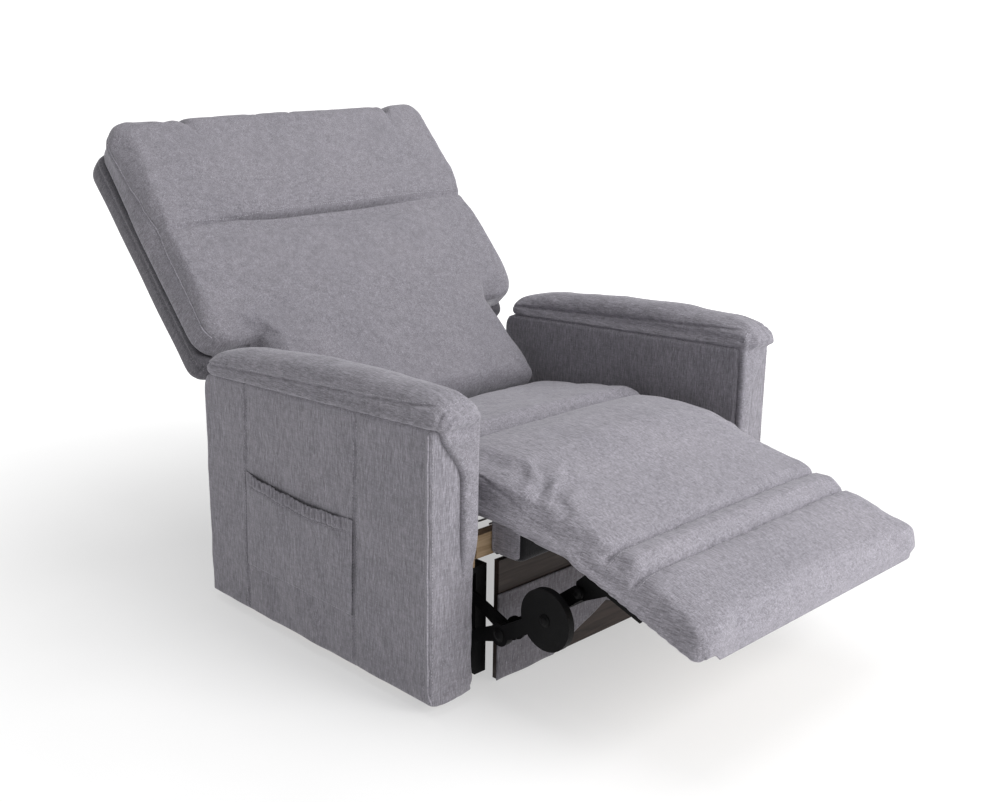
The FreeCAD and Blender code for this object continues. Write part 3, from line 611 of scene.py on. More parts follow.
# ---------------------------------------------------------------- backrest
SEAM_S, SEAM_RISE = 0.557, 0.010
WELT_T = 0.047                                          # the perimeter welt, forward of the hinge line
TOP_CREASES = ((-0.290, 0.022, 0.011), (0.325, 0.016, 0.009), (-0.085, 0.005, 0.006), (0.03, 0.004, 0.007))
BACK_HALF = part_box("lower_back_cushion")[1][0]
LOW_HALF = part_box("lumbar_cushion")[1][0]


def wide_shape(s):
    high = lerp(s, [0.25, 0.34, 0.5, 0.575, 0.64, 0.74, 0.80, 0.86],
                [0.054, 0.060, 0.062, 0.060, 0.072, 0.076, 0.078, 0.074])
    crown = lerp(s, [0.25, 0.4, 0.56, 0.62, 0.72, 0.8, 0.86],
                 [0.008, 0.012, 0.008, 0.014, 0.018, 0.014, 0.008])
    half = BACK_HALF - 0.004 - 0.008 * smooth(np.array((s - 0.55) / 0.25)).item()
    return half, -0.010, high, crown


def tongue_shape(s):
    return LOW_HALF - 0.004, -0.010, lerp(s, [0.02, 0.09, 0.3], [0.062, 0.066, 0.060]), 0.012


back = make("back_cushion_cover", *merge(
    pillow(on_back, 0.260, 0.858, wide_shape, 0.022, steps=44, corner=0.060, under=0.010, fade=0.03),
    pillow(on_back, 0.018, 0.32, tongue_shape, 0.022, steps=20, under=0.010)), BACK_CLOTH)


def back_hold(co):
    return 1 - smooth((in_back(co)[2] - 0.012) / 0.03)


stuff(back, 0.0070, 0.018, hold=back_hold)
finish_soft(back)


def dress_back(co):
    x, s, t = in_back(co)
    x = x * BACK_HALF / np.abs(x).max()
    s = span_to(s, 0.018, 0.862)
    line = SEAM_S + SEAM_RISE * x / BACK_HALF + 0.008 * np.exp(-((x + 0.27) / 0.08) ** 2)
    s = s + (0.012 * x / BACK_HALF - 0.002) * smooth((s - 0.72) / 0.12)
    ds = s - line
    front = smooth((t - 0.015) / 0.03)
    middle = 1 - 0.65 * smooth((np.abs(x + 0.02) - 0.12) / 0.28)
    wobble = ripple(co, 0.045, 3.1)
    t -= front * middle * 0.017 * np.exp(-(ds / 0.0065) ** 2)
    t -= front * 0.012 * middle * np.exp(-((ds + 0.012) / 0.036) ** 2)
    t += front * middle * 0.007 * np.exp(-((ds - 0.035) / 0.030) ** 2)
    s -= front * middle * 0.006 * np.exp(-((ds - 0.012) / 0.014) ** 2)
    tucks = np.sin(x * 150 + wobble * 3.0) * np.exp(-np.abs(ds - 0.012) / 0.022)
    t += front * 0.0016 * tucks * (0.4 + 0.6 * smooth((np.abs(x) - 0.05) / 0.2))
    border = np.exp(-((t - WELT_T) / 0.0034) ** 2)
    x -= np.sign(x) * 0.0030 * border * smooth((np.abs(x) - (BACK_HALF - 0.030)) / 0.012)
    s -= 0.0030 * border * smooth((s - 0.838) / 0.010)
    for at, deep, wide in TOP_CREASES:
        drift = at + (0.86 - s) * (0.30 if at < 0 else -0.25)
        crease = np.exp(-(np.abs(x - drift) / wide) ** 1.5)
        s -= deep * crease * smooth((s - 0.80) / 0.05)
        t -= deep * 0.45 * crease * front * smooth((s - 0.74) / 0.10)
    slack = ripple(co, 0.10, 1.3) * 0.0026 + ripple(co, 0.035, 5.0) * 0.0008
    t += front * slack
    low = smooth((0.30 - s) / 0.12) * front
    t += low * 0.0016 * np.sin(x * 46 + s * 60 + wobble * 2)
    tongue = (s < 0.262) & (np.abs(x) > LOW_HALF - 0.03)
    x = np.where(tongue, np.sign(x) * np.minimum(np.abs(x), LOW_HALF + 0.001), x)
    t = np.maximum(t, -0.0115)
    return stacked(*on_back(x, s, t))


put(back, dress_back(coords(back)))
upholster(back, "backrest", 0.75, "headrest_cushion", "lower_back_cushion", "lumbar_cushion")


def shell_shape(s):
    lean = lerp(s, [0.22, 0.30, 0.84], [-0.082, -0.087, -0.084])
    return BACK_HALF - 0.004, lean, -0.014, 0.0


shell = make("back_outer_shell",
             *pillow(on_back, 0.243, 0.832, shell_shape, 0.016, steps=60, corner=0.040, under=0.030),
             SHADED_SHELL_CLOTH)
remesh(shell, 0.007)
relax(shell, 4)
finish_soft(shell)
x, s, t = in_back(coords(shell))
rear = smooth((-0.066 - t) / 0.014)
t += rear * 0.003 * np.exp(-((np.abs(x) - 0.30) / 0.005) ** 2)
belly = np.cos(np.clip(x / 0.44, -1, 1) * math.pi / 2) * np.sin(np.clip((s - 0.23) / 0.60, 0, 1) * math.pi)
t -= rear * 0.005 * belly
wave = ripple(coords(shell), 0.09, 7.7)
x += np.sign(x) * 0.0016 * wave * (np.abs(x) > BACK_HALF - 0.017)
x -= np.sign(x) * 0.0028 * np.exp(-((t + 0.030) / 0.004) ** 2) * (np.abs(x) > BACK_HALF - 0.017)
put(shell, stacked(*on_back(x, s, t)))
upholster(shell, "backrest", 0.9, "back_shell")

# ---------------------------------------------------------------- seat and chaise
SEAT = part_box("seat_cushion")
CREASE = SEAT[0][1] - Y0
SEAT_HALF = SEAT[1][0]
CHAISE_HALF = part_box("chaise_pad")[1][0]


def on_seat(x, a, h):
    """a runs backwards from the arms' front plane, h up from the floor."""
    return (x, Y0 + a, h)


def seat_shape(a):
    high = lerp(a, [0.21, 0.26, 0.34, 0.45, 0.52, 0.57], [0.400, 0.402, 0.390, 0.373, 0.361, 0.348])
    return SEAT_HALF - 0.004, 0.305, high, 0.010


seat = make("seat_cushion_cover",
            *pillow(on_seat, CREASE + 0.004, SEAT[1][1] - Y0 + 0.006, seat_shape, 0.026, steps=24,
                    under=0.010),
            SEAT_CLOTH)
stuff(seat, 0.0075, 0.012, hold=lambda co: 1 - smooth((co[:, 2] - 0.335) / 0.03))
finish_soft(seat)
co = coords(seat)
top = smooth((co[:, 2] - 0.34) / 0.03)
co[:, 2] += top * (ripple(co, 0.12, 2.2) * 0.004 + ripple(co, 0.03, 2.9) * 0.0008)
co[:, 2] = np.maximum(co[:, 2], 0.303)
put(seat, co)
upholster(seat, "base", 0.7, "seat_cushion")
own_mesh(seat)

FOOT_LEN = 0.265


def chaise_point(x, a, h):
    """a runs forward from the crease; past the nose it follows the footrest board."""
    return on_seat(x, CREASE - a, h)


REAR_END = CREASE + (Y0 - CORNER.y)            # run from the crease to the board's rear end
TOP = [(0.0, 0.398), (0.05, 0.408), (0.12, 0.414), (0.20, 0.410), (0.26, 0.396), (0.32, 0.376),
       (0.38, 0.360), (0.434, 0.346), (0.50, 0.328), (0.58, 0.305), (0.66, 0.281), (0.70, 0.268)]
LOW = [(0.0, 0.340), (0.25, 0.340), (0.278, 0.334), (0.33, 0.328), (0.434, 0.3195), (0.70, 0.2335)]


def chaise_shape(a):
    high = lerp(a, *zip(*TOP))
    low = lerp(a, *zip(*LOW))
    crown = lerp(a, [0.0, 0.1, 0.22, 0.34, 0.44, 0.6, 0.7],
                 [0.010, 0.018, 0.022, 0.020, 0.014, 0.010, 0.004])
    return CHAISE_HALF - 0.001, low, high, crown


CHAISE_END = REAR_END + (FOOT_LEN + 0.008) * math.cos(SLOPE)
chaise = make("chaise_and_footrest_cover",
              *pillow(chaise_point, 0.002, CHAISE_END, chaise_shape, 0.022, steps=60, corner=0.034,
                      under=0.005, edge=(0.046, 2.0)),
              SEAT_CLOTH)


def chaise_hold(co):
    run = CREASE - (co[:, 1] - Y0)
    low = np.interp(run, *zip(*LOW))
    return 1 - smooth((co[:, 2] - low - 0.008) / 0.016)


stuff(chaise, 0.0070, 0.014, hold=chaise_hold)
finish_soft(chaise)
CHANNELS = (0.0235, 0.0935)                    # along the footrest board
BOARD_CLEAR = 0.0126                           # just over the board's thickness


def dress_chaise(co):
    x = span_to(co[:, 0], -CHAISE_HALF - 0.002, CHAISE_HALF + 0.002)
    a, h = in_foot(co)
    up = smooth((h - 0.018) / 0.02)
    wobble = ripple(co, 0.05, 9.0)
    for at in CHANNELS:
        bow = at + 0.003 * np.cos(x / CHAISE_HALF * 2.2) + 0.0012 * wobble
        h -= up * (0.0085 * np.exp(-((a - bow) / 0.0048) ** 2) + 0.006 * np.exp(-((a - bow) / 0.018) ** 2))
        pleat = np.sin(x * 190 + wobble * 4) * np.exp(-np.abs(a - bow) / 0.014)
        h += up * 0.0009 * pleat
    h += up * 0.004 * np.exp(-((a - 0.058) / 0.020) ** 2)
    skirt = (1 - smooth((h - 0.016) / 0.020)) * smooth((a + 0.05) / 0.05)
    h -= 0.011 * skirt * np.maximum(smooth((np.abs(x) - 0.330) / 0.012), smooth((a - 0.266) / 0.005))
    rim = np.exp(-((h - 0.004) / 0.003) ** 2)
    x = x - np.sign(x) * 0.0022 * rim * (np.abs(x) > 0.33)
    a = a - 0.0022 * rim * (a > 0.255)
    run = CREASE - (co[:, 1] - Y0)
    ahead = np.exp(-((run - 0.27) / 0.07) ** 2) * smooth((np.abs(x) - 0.16) / 0.14)
    fan = np.sin((run * 0.75 + (CHAISE_HALF - np.abs(x)) * 0.55) * 150 + wobble * 2.4)
    h += up * ahead * 0.0034 * fan
    near = smooth((np.abs(x) - 0.255) / 0.07) * np.exp(-((run - 0.30) / 0.055) ** 2)
    pinch = np.exp(-(np.sin(run * 95 + (CHAISE_HALF - np.abs(x)) * 26 + wobble * 1.5) / 0.30) ** 2)
    h -= up * near * 0.0050 * pinch
    h += up * (ripple(co, 0.13, 4.0) * 0.0034 + ripple(co, 0.035, 6.0) * 0.0009)
    out = stacked(*on_foot(x, a, h))
    over = (a > -0.002) & (a < 0.2655) & (np.abs(x) < 0.3095)           # stays out of the board
    out[over] = stacked(*on_foot(x, a, np.maximum(h, BOARD_CLEAR)))[over]
    behind = run < 0.275                                                # keeps a flat underside
    out[behind, 2] = np.maximum(out[behind, 2], 0.3392)
    return out


put(chaise, dress_chaise(coords(chaise)))
settle(chaise)
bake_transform(chaise)
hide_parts("chaise_pad", "chaise_gusset", "footrest_pad")

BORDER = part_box("seat_front_border")
WING_FRONT, WING_REAR = 0.0425, 0.0468         # of its thin sides, behind the arms' front plane


def border_shape(_):
    return 0.305, 0.250, BORDER[1][2] - 0.001, 0.0


def wing_shape(_):
    return BORDER[1][0] - 0.001, BORDER[0][2] + 0.001, BORDER[1][2] - 0.001, 0.0


border = make("seat_front_border_cover", *merge(
    pillow(on_seat, BORDER[0][1] - Y0 + 0.001, 0.046, border_shape, 0.016, steps=12),
    pillow(on_seat, WING_FRONT, WING_REAR, wing_shape, 0.0018, steps=3)), SEAT_CLOTH)
remesh(border, 0.005)
relax(border, 3)
finish_soft(border)
co = coords(border)
co[:, 1] += ripple(co, 0.05, 1.0) * 0.0016 * (co[:, 1] < Y0 - 0.015)
put(border, co)
border.data.materials.append(DUST_AND_SHADE_CLOTH)
for face in border.data.polygons:              # its middle gets black cloth, painted shade under the chaise's nose
    face.material_index = int(abs(face.center.x) < 0.300)
upholster(border, "base", 0.9, "seat_front_border")

# ---------------------------------------------------------------- arms
ARM_LEN = ARM_REAR - Y0
SEAM_FRONT, SEAM_REAR = 0.218, 0.565
POCKET_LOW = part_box("side_pocket")[0][2]
# heights of the arm pads' underside, along the arm from its front plane
PAD_LOW = ([-0.04, 0.0, 0.1, 0.2, 0.35, 0.5, 0.712], [0.5425, 0.5406, 0.535, 0.5295, 0.521, 0.513, 0.5015])


def arm_top_at(a):
    """The outer cover's top edge, a little way up inside the arm pad."""
    return lerp(a, *PAD_LOW) + 0.003


SIDE_POINTS = (76, 7, 76, 7)                            # on the sides of an arm's plan


def rounded_plan(x0, x1, y0, y1, r):
    """A rounded rectangle's outline in plan, with a fixed number of points on each side."""
    pts = []
    corners = ((x1 - r, y0 + r, -90), (x1 - r, y1 - r, 0), (x0 + r, y1 - r, 90), (x0 + r, y0 + r, 180))
    starts = []
    for cx, cy, a0 in corners:
        turns = [math.radians(a0 + 90 * i / 6) for i in range(7)]
        starts.append([(cx + r * math.cos(w), cy + r * math.sin(w)) for w in turns])
    for i in range(4):
        pts += starts[i]
        a, b = Vector(starts[i][-1]), Vector(starts[(i + 1) % 4][0])
        n = SIDE_POINTS[i]
        pts += [tuple(a.lerp(b, k / n)) for k in range(1, n)]
    return pts


def arm_cover(word, side):
    """The cloth over one arm's board: outer, front and inner faces, with the outer panels' seams."""
    sections = []
    levels = 58
    for i in range(levels + 1):
        f = i / levels
        roll = inset(f * 0.5, 0.010) + inset((1 - f) * 0.5, 0.004)
        rear = max(roll, inset((1 - f) * 0.5, 0.034))
        plan = rounded_plan(ARM_IN + roll, ARM_OUT - roll, roll, ARM_LEN - rear, 0.012)
        sections.append([(side * px, Y0 + py, ARM_LOW + 0.001 + f * (arm_top_at(py) - ARM_LOW - 0.001))
                         for px, py in plan])
    obj = make(f"arm_cover_{word}", *loft(sections), ARM_CLOTH)
    mod = obj.modifiers.new("Fine", "SUBSURF")
    mod.subdivision_type = "SIMPLE"
    mod.levels = 1
    bake(obj)
    co = coords(obj)
    px, a, z = np.abs(co[:, 0]), co[:, 1] - Y0, co[:, 2]
    outer = smooth((px - (ARM_OUT - 0.012)) / 0.006)
    inner = smooth(((ARM_IN + 0.012) - px) / 0.006)
    front = smooth((0.010 - a) / 0.006)
    wobble = ripple(co, 0.06, 11.0 + side)
    fine = ripple(co, 0.022, 4.0 + side)
    lean = (0.30 - z) * 0.03
    for at in (SEAM_FRONT, SEAM_REAR):
        gap = a - at - lean
        px -= outer * (0.0034 * np.exp(-(gap / 0.0030) ** 2) + 0.0018 * np.exp(-(gap / 0.014) ** 2))
        px += outer * 0.0009 * np.exp(-((np.abs(gap) - 0.008) / 0.003) ** 2)
    px += outer * (0.0022 * wobble + 0.0006 * fine)
    flare = smooth((px - (ARM_OUT - 0.040)) / 0.036) * np.exp(-np.clip(a, 0, None) / 0.016)
    px += 0.0135 * flare * smooth((z - 0.02) / 0.04)
    px -= outer * 0.0026 * np.exp(-((a - 0.026) / 0.0035) ** 2)
    low_front = smooth((0.30 - z) / 0.2) * smooth((a - 0.25) / 0.1) * smooth((0.56 - a) / 0.08)
    px += outer * low_front * 0.0022 * np.sin((a - z * 0.7) * 42 + wobble * 2)
    px += inner * -0.0016 * wobble
    a = a + front * (-0.0022 * np.exp(-((px - (ARM_IN + ARM_OUT) / 2) / 0.03) ** 2)
                     + 0.0012 * fine)
    creases = smooth((0.16 - z) / 0.1) * front
    a = a + creases * 0.0022 * np.sin((z + px * 0.6) * 120 + wobble * 3)
    put(obj, stacked(side * px, Y0 + a, z))
    upholster(obj, "base", 0.9,
              f"arm_outer_cover_{word}", f"arm_front_cover_{word}", f"arm_inner_cover_{word}")
    return obj


PAD_TOP = [(-0.044, 0.552), (-0.037, 0.560), (-0.0075, 0.577), (0.02, 0.588), (0.055, 0.593),
           (0.19, 0.594), (0.35, 0.586), (0.571, 0.564), (0.665, 0.546), (0.712, 0.530)]
MID_SEAM = ([-0.04, 0.0, 0.1, 0.2, 0.35, 0.5, 0.7], [0.580, 0.5786, 0.5707, 0.5629, 0.5511, 0.5393, 0.5236])


def arm_pad(word, side):
    """The stuffed roll on one arm and the band that falls from it down the arm's front."""
    mid = -side * (PAD[0][0] + PAD[1][0]) / 2
    half = (PAD[1][0] - PAD[0][0]) / 2

    def place(x, a, h):
        return (mid + x, Y0 + a, h)

    def shape(a):
        high = lerp(a, *zip(*PAD_TOP)) - 0.008
        return half - 0.003, lerp(a, *PAD_LOW), high, 0.006

    def flare(a):
        return smooth(np.array((a - 0.44) / 0.10)).item()

    def band_place(x, a, h):
        """a runs up the front of the arm, h forward from it."""
        return (side * (ARM_IN + 0.0205 + 0.024 * flare(a)) + x, Y0 - h, a)

    def band_shape(a):
        taper = smooth(np.array((a - 0.236) / 0.10)).item()
        width = 0.0195 + 0.026 * flare(a)
        return 0.014 * (1 - taper) + width * taper, -0.004, 0.002 + 0.0105 * taper, 0.002

    roll = pillow(place, -0.028, 0.700, shape, 0.044, steps=50, under=0.008)
    fall = pillow(band_place, 0.240, 0.560, band_shape, 0.006, steps=34)
    obj = make(f"arm_pad_cover_{word}", *merge(roll, fall), ROLL_CLOTH)

    def hold(co):
        a = co[:, 1] - Y0
        return 1 - smooth((co[:, 2] - np.interp(a, *PAD_LOW)) / 0.018)

    stuff(obj, 0.0052, 0.012, hold=hold)
    finish_soft(obj)
    co = coords(obj)
    px, a, z = np.abs(co[:, 0]), co[:, 1] - Y0, co[:, 2]
    wobble = ripple(co, 0.05, 21.0 + side)
    px = px.clip(None, (PAD[1][0] - PAD[0][0]) + ARM_IN)
    body = smooth((z - 0.506) / 0.02)
    line = np.interp(a, *MID_SEAM)
    outer = smooth((px - (ARM_OUT - 0.030)) / 0.012) * body
    px = px - outer * 0.0036 * np.exp(-((z - line) / 0.0030) ** 2)
    inner = smooth(((ARM_IN + 0.020) - px) / 0.012) * body
    px = px + inner * 0.0030 * np.exp(-((z - line) / 0.0030) ** 2)
    top = smooth((z - 0.548) / 0.02)
    cap = a + 0.011
    px = px - outer * 0.0024 * np.exp(-(cap / 0.0030) ** 2)
    z = z - top * 0.0022 * np.exp(-(cap / 0.0034) ** 2)
    pleat = np.exp(-np.abs(cap) / 0.026) * top
    z = z + pleat * 0.0012 * np.sin(px * 330 + wobble * 2.5)
    nose = smooth((0.004 - a) / 0.02) * body
    a = a + nose * 0.0008 * np.sin(px * 300 + wobble * 2)
    z = z + top * (0.0020 * wobble + 0.0006 * np.sin(a * 34 + wobble * 2))
    low_roll = outer * smooth((line - z) / 0.01) * smooth((a - 0.02) / 0.04) * smooth((0.30 - a) / 0.1)
    px = px + low_roll * 0.0012 * np.sin(a * 230 + z * 160 + wobble * 3)
    inside = (a > 0.022) & (a < ARM_LEN - 0.04) & (px > ARM_IN + 0.022) & (px < ARM_OUT - 0.022)
    z = np.where(inside, np.maximum(z, np.interp(a, *PAD_LOW) + 0.0036), z)
    a = np.where((z < 0.510) & (a > -0.0005) & (a < 0.03), -0.0005, a)
    put(obj, stacked(side * px, Y0 + a, z))
    upholster(obj, "base", 0.75, f"arm_pad_{word}", f"arm_band_{word}")
    return obj


covers, rolls = {}, {}
for word, side in SIDES:
    covers[word] = arm_cover(word, side)
    rolls[word] = arm_pad(word, side)

# ---------------------------------------------------------------- side pocket
def pocket_point(u, v):
    """The gathered pocket on the sitter's right: u runs along it, v up it."""
    low = POCKET_LOW + 0.004
    y_front, y_rear = SEAM_FRONT + 0.004, SEAM_REAR - 0.004
    a = y_front + (y_rear - y_front) * u
    mouth = 0.318 - 0.010 * math.sin(u * math.pi) + 0.008 * u
    z = low + (mouth - low) * v
    a += (0.30 - z) * 0.03
    from_top = mouth - z
    seam = min(u, 1 - u) * (y_rear - y_front)
    held = (1 - math.exp(-seam / 0.016)) * (1 - math.exp(-(z - low) / 0.03))
    drift = noise.noise(Vector((a * 30, z * 30, 3.3)))
    slow = noise.noise(Vector((a * 12, z * 12, 8.3)))
    ruff = math.sin(a * 2 * math.pi / 0.0150 + drift * 1.6)
    band = 1 / (1 + math.exp((from_top - 0.022) / 0.0015)) * (1 - math.exp(-from_top / 0.003))
    gather = 0.0026 * ruff * (band + 0.3 * math.exp(-from_top / 0.028))
    folds = 0.0024 * math.sin(a * 70 + z * 26 + slow * 4) * math.exp(-from_top / 0.09)
    puff = 0.0042 * held + 0.0022 * slow
    pinch = -0.0026 * math.exp(-((from_top - 0.026) / 0.0035) ** 2)
    out = 0.0018 + held * (puff + gather + folds + pinch)
    return (-(ARM_OUT + max(out, 0.0008)), Y0 + a, z)


pocket = cloth_sheet("side_pocket_cloth", pocket_point, 230, 70, ARM_CLOTH, 0.0016)
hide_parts("side_pocket")

# ---------------------------------------------------------------- lower front
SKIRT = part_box("front_skirt")
SKIRT_HALF = SKIRT[1][0] + 0.004
CUT_HALF, CUT_RISE = 0.155, 0.07                        # of the triangle cut from its lower edge
CRANK_X = 0.150                                         # the rod's fork


def skirt_point(u, v):
    """The lower front panel, cut away under its middle and lowered where the rod's fork passes."""
    x = -SKIRT_HALF + 2 * SKIRT_HALF * u
    rise = SKIRT[0][2] + CUT_RISE * max(0.0, 1 - abs(x) / CUT_HALF)
    top = SKIRT[1][2] - 0.012 * smooth(np.array((0.044 - abs(x - CRANK_X)) / 0.008)).item()
    z = rise + (top - rise) * v
    y = SKIRT[0][1] + 0.0022 + 0.0012 * noise.noise(Vector((x * 18, 0.4, z * 18)))
    return (x, y + 0.001 * math.sin(x * 60) * (1 - v), z)


# its darkened cloth is painted shadow from the chaise above
front = cloth_sheet("front_skirt_cloth", skirt_point, 120, 36, SHADED_SKIRT_CLOTH, 0.0018)
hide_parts("front_skirt")

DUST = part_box("rear_dust_cover")
DUST_HALF = DUST[1][0] - 0.001
DUST_HIGH = DUST[1][2] - DUST[0][2]


def dust_point(u, v):
    """Thin black cloth stretched across the back of the base between the arms."""
    x = -DUST_HALF + 2 * DUST_HALF * u
    z = DUST[0][2] + DUST_HIGH * v
    sag = math.sin(u * math.pi) * math.sin(v * math.pi)
    y = (DUST[0][1] + DUST[1][1]) / 2 + 0.0024 * sag * noise.noise(Vector((x * 9, 2.2, z * 9)))
    return (x, y + 0.0011 * math.sin(x * 90 + z * 30) * math.exp(-(1 - v) * 5), z)


dust = cloth_sheet("rear_dust_cloth", dust_point, 140, 56, DUST_AND_SHADE_CLOTH, 0.0012)
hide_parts("rear_dust_cover")

# ---------------------------------------------------------------- stitching
def stitch(name, obj, runs, body, toward):
    """Rows of stitches on obj, each run thrown onto its surface along toward."""
    parts = [dash_mesh(on_surface(obj, run, toward=toward)) for run in runs]
    piece = make(name, *merge(*parts), THREAD, body)


for word, side in SIDES:
    out = ARM_OUT + 0.02
    runs = []
    for at in (SEAM_FRONT, SEAM_REAR):
        for off in (-0.0055, 0.0055):
            runs.append([(side * out, Y0 + at + off + (0.30 - z) * 0.03, z)
                         for z in np.linspace(0.03, 0.512, 60)])
    runs.append([(side * out, Y0 + 0.021, z) for z in np.linspace(0.03, 0.525, 60)])
    stitch(f"panel_stitches_{word}", covers[word], runs, "base", toward=(-side, 0, 0))
    edge_x = side * (ARM_OUT + 0.0035)
    run = [(edge_x, Y0 - 0.02, z) for z in np.linspace(0.03, 0.525, 60)]
    stitch(f"front_stitches_{word}", covers[word], [run], "base", toward=(0, 1, 0))
    seam = [(side * (ARM_OUT + 0.03), Y0 + a, float(np.interp(a, *MID_SEAM)) + 0.0045)
            for a in np.linspace(0.0, 0.69, 90)]
    stitch(f"roll_stitches_{word}", rolls[word], [seam], "base", toward=(-side, 0, 0))
    cap = [(x, Y0 - 0.0065, 0.62) for x in side * np.linspace(ARM_IN + 0.004, ARM_OUT + 0.004, 16)]
    stitch(f"cap_stitches_{word}", rolls[word], [cap], "base", toward=(0, 0, -1))

face = (0, -math.cos(RECLINE), math.sin(RECLINE))
line = [on_back(x, SEAM_S + SEAM_RISE * x / BACK_HALF + 0.009, 0.10) for x in np.linspace(-0.40, 0.40, 90)]
stitch("headrest_stitches", back, [line], "backrest", toward=[-c for c in face])
rows = []
for at in CHANNELS:
    rows.append([on_foot(x, at + 0.0085, 0.07) for x in np.linspace(-0.335, 0.335, 80)])
stitch("channel_stitches", chaise, rows, "footrest", toward=(0, math.sin(SLOPE), -math.cos(SLOPE)))
edge = []
for a in np.linspace(0.228, 0.555, 60):
    u = (a - 0.222) / 0.34
    edge.append((-(ARM_OUT + 0.02), Y0 + a, 0.290 - 0.010 * math.sin(u * math.pi) + 0.008 * u))
stitch("pocket_stitches", pocket, [edge], "base", toward=(1, 0, 0))


def welt(name, obj, points, body, toward):
    """A cord, its chenille brightened as a painted highlight, sewn onto obj where points are thrown onto
    its surface along toward.
    """
    piece = make(name, *cord_mesh(on_surface(obj, points, lift=0.0002, toward=toward)), HIGHLIT_WELT_CLOTH, body)
    settle(piece)


for word, side in SIDES:
    sides = [on_back(side * (BACK_HALF + 0.03), s, WELT_T) for s in np.linspace(0.285, 0.800, 120)]
    welt(f"back_welt_{word}", back, sides, "backrest", (-side, 0, 0))
    fronts = [(side * (ARM_OUT + 0.04), Y0 + 0.0065, z) for z in np.linspace(0.025, 0.532, 120)]
    welt(f"arm_front_welt_{word}", covers[word], fronts, "base", (-side, 0, 0))

# ---------------------------------------------------------------- mechanism details
def bolt(name, x, y, z, radius, out, body, material, thick=0.004):
    """A domed rivet head on a washer; out is +1 or -1 along X."""
    profile = [(0.0, radius * 1.45), (0.0008, radius * 1.5), (0.0014, radius * 1.45), (0.0015, radius),
               (thick * 0.6, radius * 0.96), (thick * 0.85, radius * 0.75), (thick, radius * 0.4),
               (thick, 0.0005)]
    y_way, z_way = Vector((0, 1, 0)), Vector((0, 0, 1))
    sections = [circle(Vector((x + out * d, y, z)), y_way, z_way, r, 24) for d, r in profile]
    piece = make(name, *loft(sections), material, body)


def faces_x(node):
    """How far a node's inner and outer faces are from the chair's middle plane."""
    return sorted(abs(corner[0]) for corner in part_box(node))


AXLE_Y, AXLE_Z = Y0 - 0.039, 0.138                      # the hub's pivot
DISC_Y, DISC_Z = Y0 - 0.150, 0.205                      # the round disc's middle
for word, side in SIDES:
    disc_x = faces_x(f"swing_disc_{word}")[1]
    bolt(f"hub_rivet_{word}", side * disc_x, AXLE_Y, AXLE_Z, 0.009, side, "drive_links", BLACK_STEEL)
    bolt(f"disc_rivet_{word}", side * disc_x, DISC_Y, DISC_Z, 0.008, side, "drive_links",
         BLACK_STEEL, 0.005)
    eye = Vector(on_foot(0, -0.012, -0.070))
    arm_x = faces_x(f"swing_arm_{word}")[1]
    bolt(f"eye_rivet_{word}", side * arm_x, eye.y, eye.z, 0.0065, side, "drive_links", BLACK_STEEL)
    inner = faces_x(f"footrest_bar_{word}")[0]
    for number, (a, h) in enumerate(((0.05, -0.018), (0.20, -0.004))):
        spot = Vector(on_foot(0, a, h))
        bolt(f"bar_rivet_{word}_{number}", side * inner, spot.y, spot.z, 0.004, -side, "footrest",
             BARE_STEEL, 0.003)

# ---------------------------------------------------------------- materials for the CAD parts
HARD = (BLACK_STEEL, BARE_STEEL, BLACK_PLASTIC, RUBBER, DARK_BOARD, TIMBER)
for name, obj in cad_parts.items():
    slots = [s.name for s in obj.material_slots]
    chosen = next((mat for key, mat in CARRIED.items() if any(key in slot for slot in slots)), BLACK_STEEL)
    if not obj.material_slots:
        obj.data.materials.append(chosen)
    for slot in obj.material_slots:
        slot.material = chosen
    if chosen in HARD and "spring" not in name:
        mod = obj.modifiers.new("Edge", "BEVEL")
        mod.width = 0.0010
        mod.segments = 2
        mod.limit_method = "ANGLE"
        mod.angle_limit = math.radians(35)

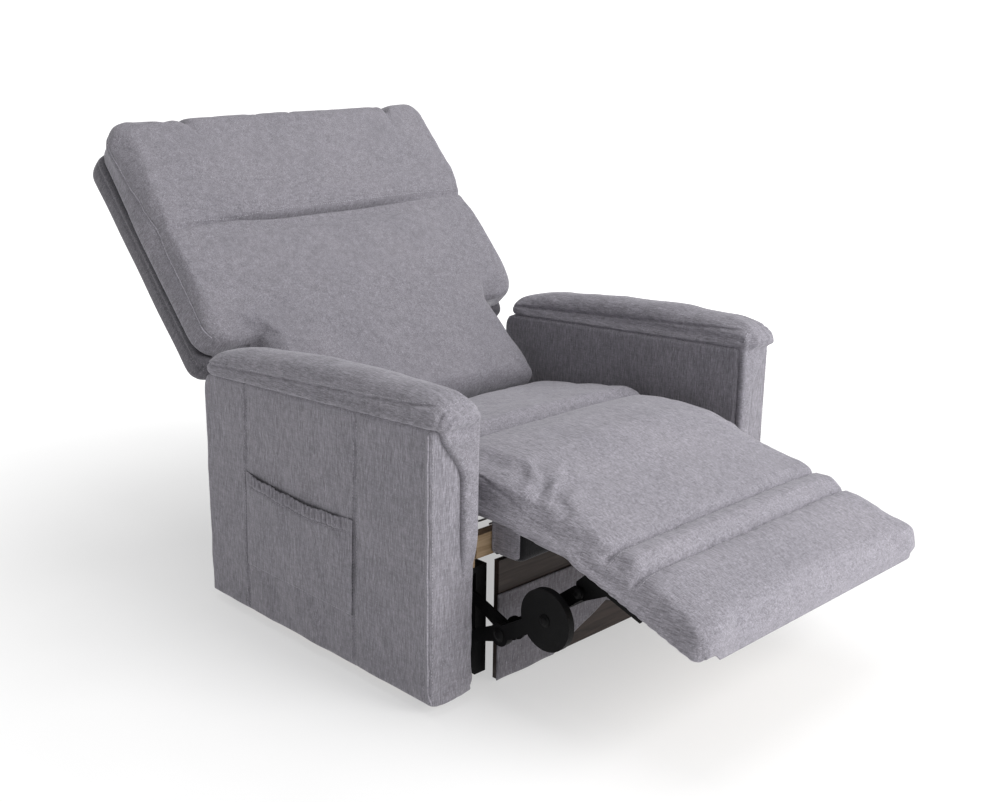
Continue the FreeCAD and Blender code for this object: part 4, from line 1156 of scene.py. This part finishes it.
# ---------------------------------------------------------------- floor, light and camera
def stage_floor():
    """A pale floor that curves up far behind. It glows, which also lights the chair from below, and glows
    less near the chair: painted shade under and round it.
    """
    material, tree, shader = nodes_of("pale_floor")
    where = add(tree, "ShaderNodeTexCoord")
    speck = add(tree, "ShaderNodeTexNoise")
    speck.inputs["Scale"].default_value = 3.0
    tree.links.new(where.outputs["Object"], speck.inputs["Vector"])
    tree.links.new(ramp(tree, speck.outputs[0], [(0.3, grey(0.40)), (0.7, grey(0.42))]),
                   shader.inputs["Base Color"])
    shader.inputs["Roughness"].default_value = 0.95
    shader.inputs["Specular IOR Level"].default_value = 0.0
    length = add(tree, "ShaderNodeVectorMath", operation="LENGTH")
    tree.links.new(where.outputs["Object"], length.inputs[0])
    far = math_node(tree, "DIVIDE", length.outputs["Value"], 4.0)
    # the glow drops to under half near the chair's middle: painted shade under the chair
    glow_with_painted_shade = ramp(tree, far, [(0.08, grey(0.46)), (0.26, grey(0.60)), (0.6, grey(1.0))])
    tree.links.new(glow_with_painted_shade, shader.inputs["Emission Color"])
    shader.inputs["Emission Strength"].default_value = 1.0
    verts, faces = [], []
    profile = [(1.5, 0.0), (3.0, 0.0), (5.0, 0.0), (7.0, 0.05), (9.0, 0.4), (11.0, 1.3), (12.5, 3.0)]
    count = 64
    for r, z in profile:
        for i in range(count):
            w = 2 * math.pi * i / count
            verts.append((r * math.cos(w), r * math.sin(w), z))
    verts.append((0, 0, 0))
    for j in range(len(profile) - 1):
        for i in range(count):
            k = (i + 1) % count
            faces.append((j * count + i, j * count + k, (j + 1) * count + k, (j + 1) * count + i))
    faces += [(len(verts) - 1, i, (i + 1) % count) for i in range(count)]
    floor = make("floor", verts, faces, material)


stage_floor()

world = bpy.data.worlds.new("studio")
scene.world = world
world.use_nodes = True
background = world.node_tree.nodes["Background"]
background.inputs["Color"].default_value = (1, 1, 1, 1)
background.inputs["Strength"].default_value = 0.28
scene.view_settings.view_transform = "Standard"


def area(name, location, target, size, power):
    """A square area light turned towards target."""
    data = bpy.data.lights.new(name, "AREA")
    data.shape = "SQUARE"
    data.size = size
    data.energy = power
    lamp = bpy.data.objects.new(name, data)
    lamp.location = location
    lamp.rotation_euler = (Vector(target) - Vector(location)).to_track_quat("-Z", "Y").to_euler()
    scene.collection.objects.link(lamp)


area("key", (1.0, -3.8, 2.4), (0, -0.1, 0.4), 2.6, 195)
area("top", (0.3, 0.0, 3.8), (0, 0, 0.4), 3.0, 60)

YAW, PITCH, ROLL = math.radians(-45.218), math.radians(-15.971), math.radians(1.032)
camera_data = bpy.data.cameras.new("camera")
camera_data.sensor_fit = "HORIZONTAL"
camera_data.sensor_width = 36.0
camera_data.lens = 46.3765                              # millimetres, from the camera fit
camera_data.clip_end = 200
camera = bpy.data.objects.new("camera", camera_data)
forward = Vector((-math.sin(YAW) * math.cos(PITCH), math.cos(YAW) * math.cos(PITCH), math.sin(PITCH)))
right = Vector((math.cos(YAW), math.sin(YAW), 0))
up = right.cross(forward)
right_rolled = right * math.cos(ROLL) + up * math.sin(ROLL)
up_rolled = -right * math.sin(ROLL) + up * math.cos(ROLL)
pose = Matrix((right_rolled, up_rolled, -forward)).transposed().to_4x4()
pose.translation = Vector((-1.878, Y0 - 1.535, 1.186))
camera.matrix_world = pose
scene.collection.objects.link(camera)
scene.camera = camera
